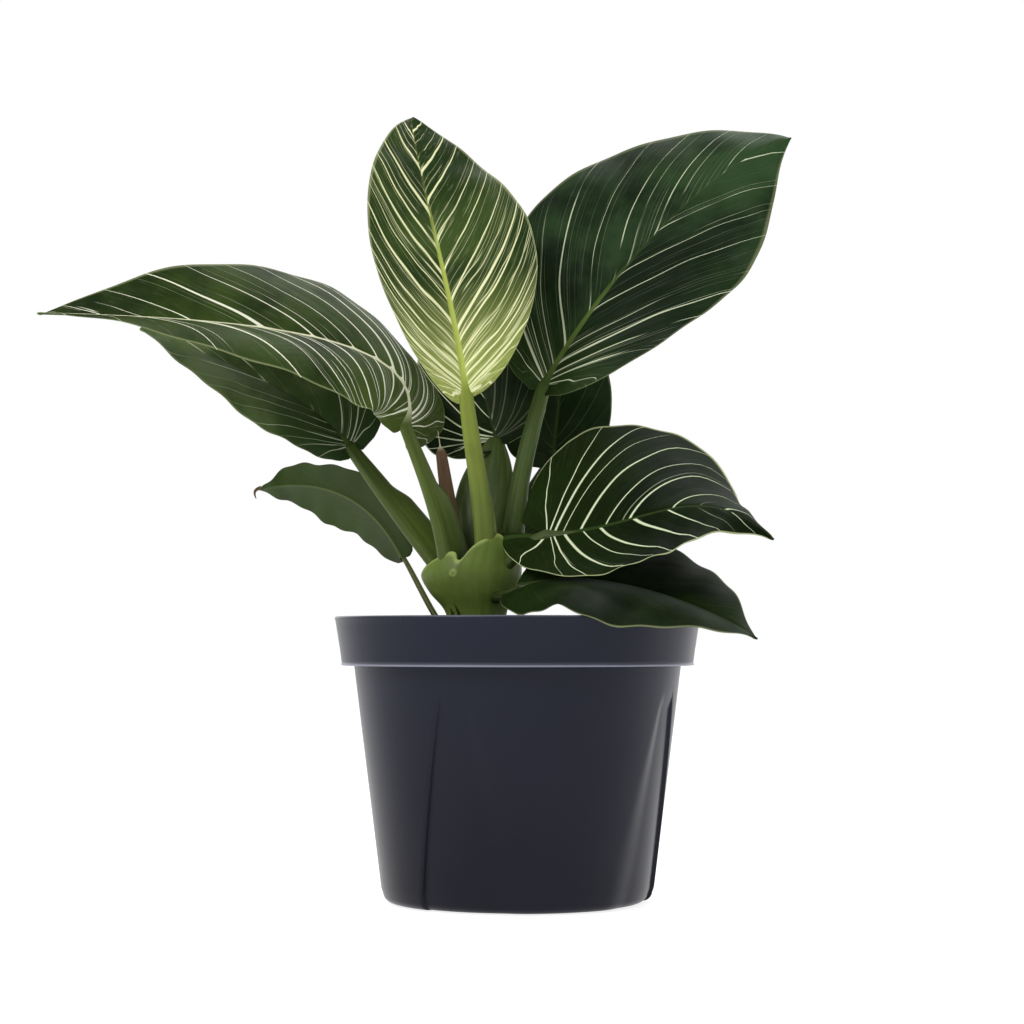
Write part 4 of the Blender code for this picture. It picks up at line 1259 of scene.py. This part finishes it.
def grains(name, count, surface, sizes, rim, seed):
    """Loose chips lying on the soil, each a dented ball squashed flat."""
    draw = np.random.default_rng(seed)
    shape = bmesh.new()
    for _ in range(count):
        reach = rim * 0.97 * math.sqrt(draw.random())
        x, y = around_pot(reach, draw.random() * 2 * math.pi)
        size = sizes[0] + (sizes[1] - sizes[0]) * draw.random() ** 2
        made = bmesh.ops.create_icosphere(shape, subdivisions=2, radius=size)
        spin = draw.random(3) * 6.28
        stretch = Vector((1.0 + draw.random() * 0.8, 0.6 + draw.random() * 0.4, 0.35 + draw.random() * 0.3))
        lean = Vector((draw.normal() * 0.35, draw.normal() * 0.35, 1))
        rotation = Vector((0, 0, 1)).rotation_difference(lean)
        ca, sa = math.cos(spin[0]), math.sin(spin[0])
        height = soil_height(x, y)
        for vert in made["verts"]:
            dent = 1 + 0.35 * noise.noise(vert.co / size * 1.3 + Vector(spin))
            point = rotation @ (vert.co * dent * stretch)
            turned = (x + point.x * ca - point.y * sa, y + point.x * sa + point.y * ca)
            vert.co = (*turned, height + point.z + size * 0.12)
    mesh = bpy.data.meshes.new(name)
    shape.to_mesh(mesh)
    shape.free()
    mesh.shade_smooth()
    mesh.materials.append(surface)
    obj = linked(name, mesh)
    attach(obj, BODY)


# ---------------------------------------------------------------- stage, light and camera

FLOOR_RADIUS = 30.0
FLOOR_DROP = 0.0004                # the floor lies this far under the pot, clear of its base
FLOOR_GLOW = 0.82
WORLD_RAMP = (0.35, 0.85, 0.26, 1.7)   # from where to where behind, and its light in front and behind
CAMERA_PLACE = (0.0, -1.030, 0.108)
CAMERA_HEADING = (-0.0022, 1.0, 0.0495)
LENS = 88.0
LIGHT_AIM = (0.0, 0.0, 0.18)


def stage():
    bpy.ops.mesh.primitive_circle_add(
        vertices=128, radius=FLOOR_RADIUS, fill_type="NGON", location=(0, 0, -FLOOR_DROP))
    floor = bpy.context.object
    floor.name = "floor"
    graph = Graph("floor_white")
    tone = graph.mix(graph.noise(graph.place(), 3.0), (0.44, 0.44, 0.445), (0.46, 0.46, 0.46))
    graph.shader.inputs["Emission Color"].default_value = (1.0, 1.0, 1.0, 1.0)
    graph.shader.inputs["Emission Strength"].default_value = FLOOR_GLOW
    floor.data.materials.append(graph.finish(tone, 0.9, 0.2))


def studio():
    """A white surround as the camera sees it, which lights softly, most strongly from behind."""
    world = bpy.data.worlds.new("studio")
    bpy.context.scene.world = world
    world.use_nodes = True
    nodes, links = world.node_tree.nodes, world.node_tree.links
    split = nodes.new("ShaderNodeSeparateXYZ")
    links.new(nodes.new("ShaderNodeTexCoord").outputs["Generated"], split.inputs[0])
    behind = nodes.new("ShaderNodeMapRange")
    behind.interpolation_type = "SMOOTHSTEP"
    links.new(split.outputs[1], behind.inputs[0])
    for socket, value in zip(behind.inputs[1:5], WORLD_RAMP):
        socket.default_value = value
    seen = nodes.new("ShaderNodeMix")
    links.new(nodes.new("ShaderNodeLightPath").outputs["Is Camera Ray"], seen.inputs[0])
    links.new(behind.outputs[0], seen.inputs[2])
    seen.inputs[3].default_value = 1.0
    links.new(seen.outputs[0], nodes["Background"].inputs[1])
    nodes["Background"].inputs[0].default_value = (1.0, 1.0, 1.0, 1.0)


def aimed(obj, place, way):
    obj.location = place
    obj.rotation_euler = Vector(way).to_track_quat("-Z", "Y").to_euler()
    return obj


def softbox(name, place, size, power):
    data = bpy.data.lights.new(name, "AREA")
    data.shape = "RECTANGLE"
    data.size, data.size_y = size
    data.energy = power
    aimed(linked(name, data), place, Vector(LIGHT_AIM) - Vector(place))


def camera():
    data = bpy.data.cameras.new("camera")
    data.lens = LENS
    data.sensor_width = 36.0
    bpy.context.scene.camera = aimed(linked("camera", data), CAMERA_PLACE, CAMERA_HEADING)


def main():
    camera()
    pot()
    soil()
    crown()
    dried_sheath()
    leaf_tip_hook(LEAVES["left_low"])
    for seed, (name, leaf) in enumerate(LEAVES.items()):
        place = over_rim if name == "over_rim" else at_rim
        stalk(name, leaf, place)
        blade(name, leaf, place, 17.0 * (seed + 1))
    stage()
    studio()
    softbox("key_left", (-0.8, -0.9, 1.1), (0.7, 0.7), 13.0)
    softbox("top_back", (0.2, 0.7, 1.4), (1.0, 0.8), 8.0)
    softbox("side_right", (1.1, 0.1, 0.5), (0.5, 1.0), 3.0)
    bpy.context.scene.view_settings.view_transform = "Standard"


main()
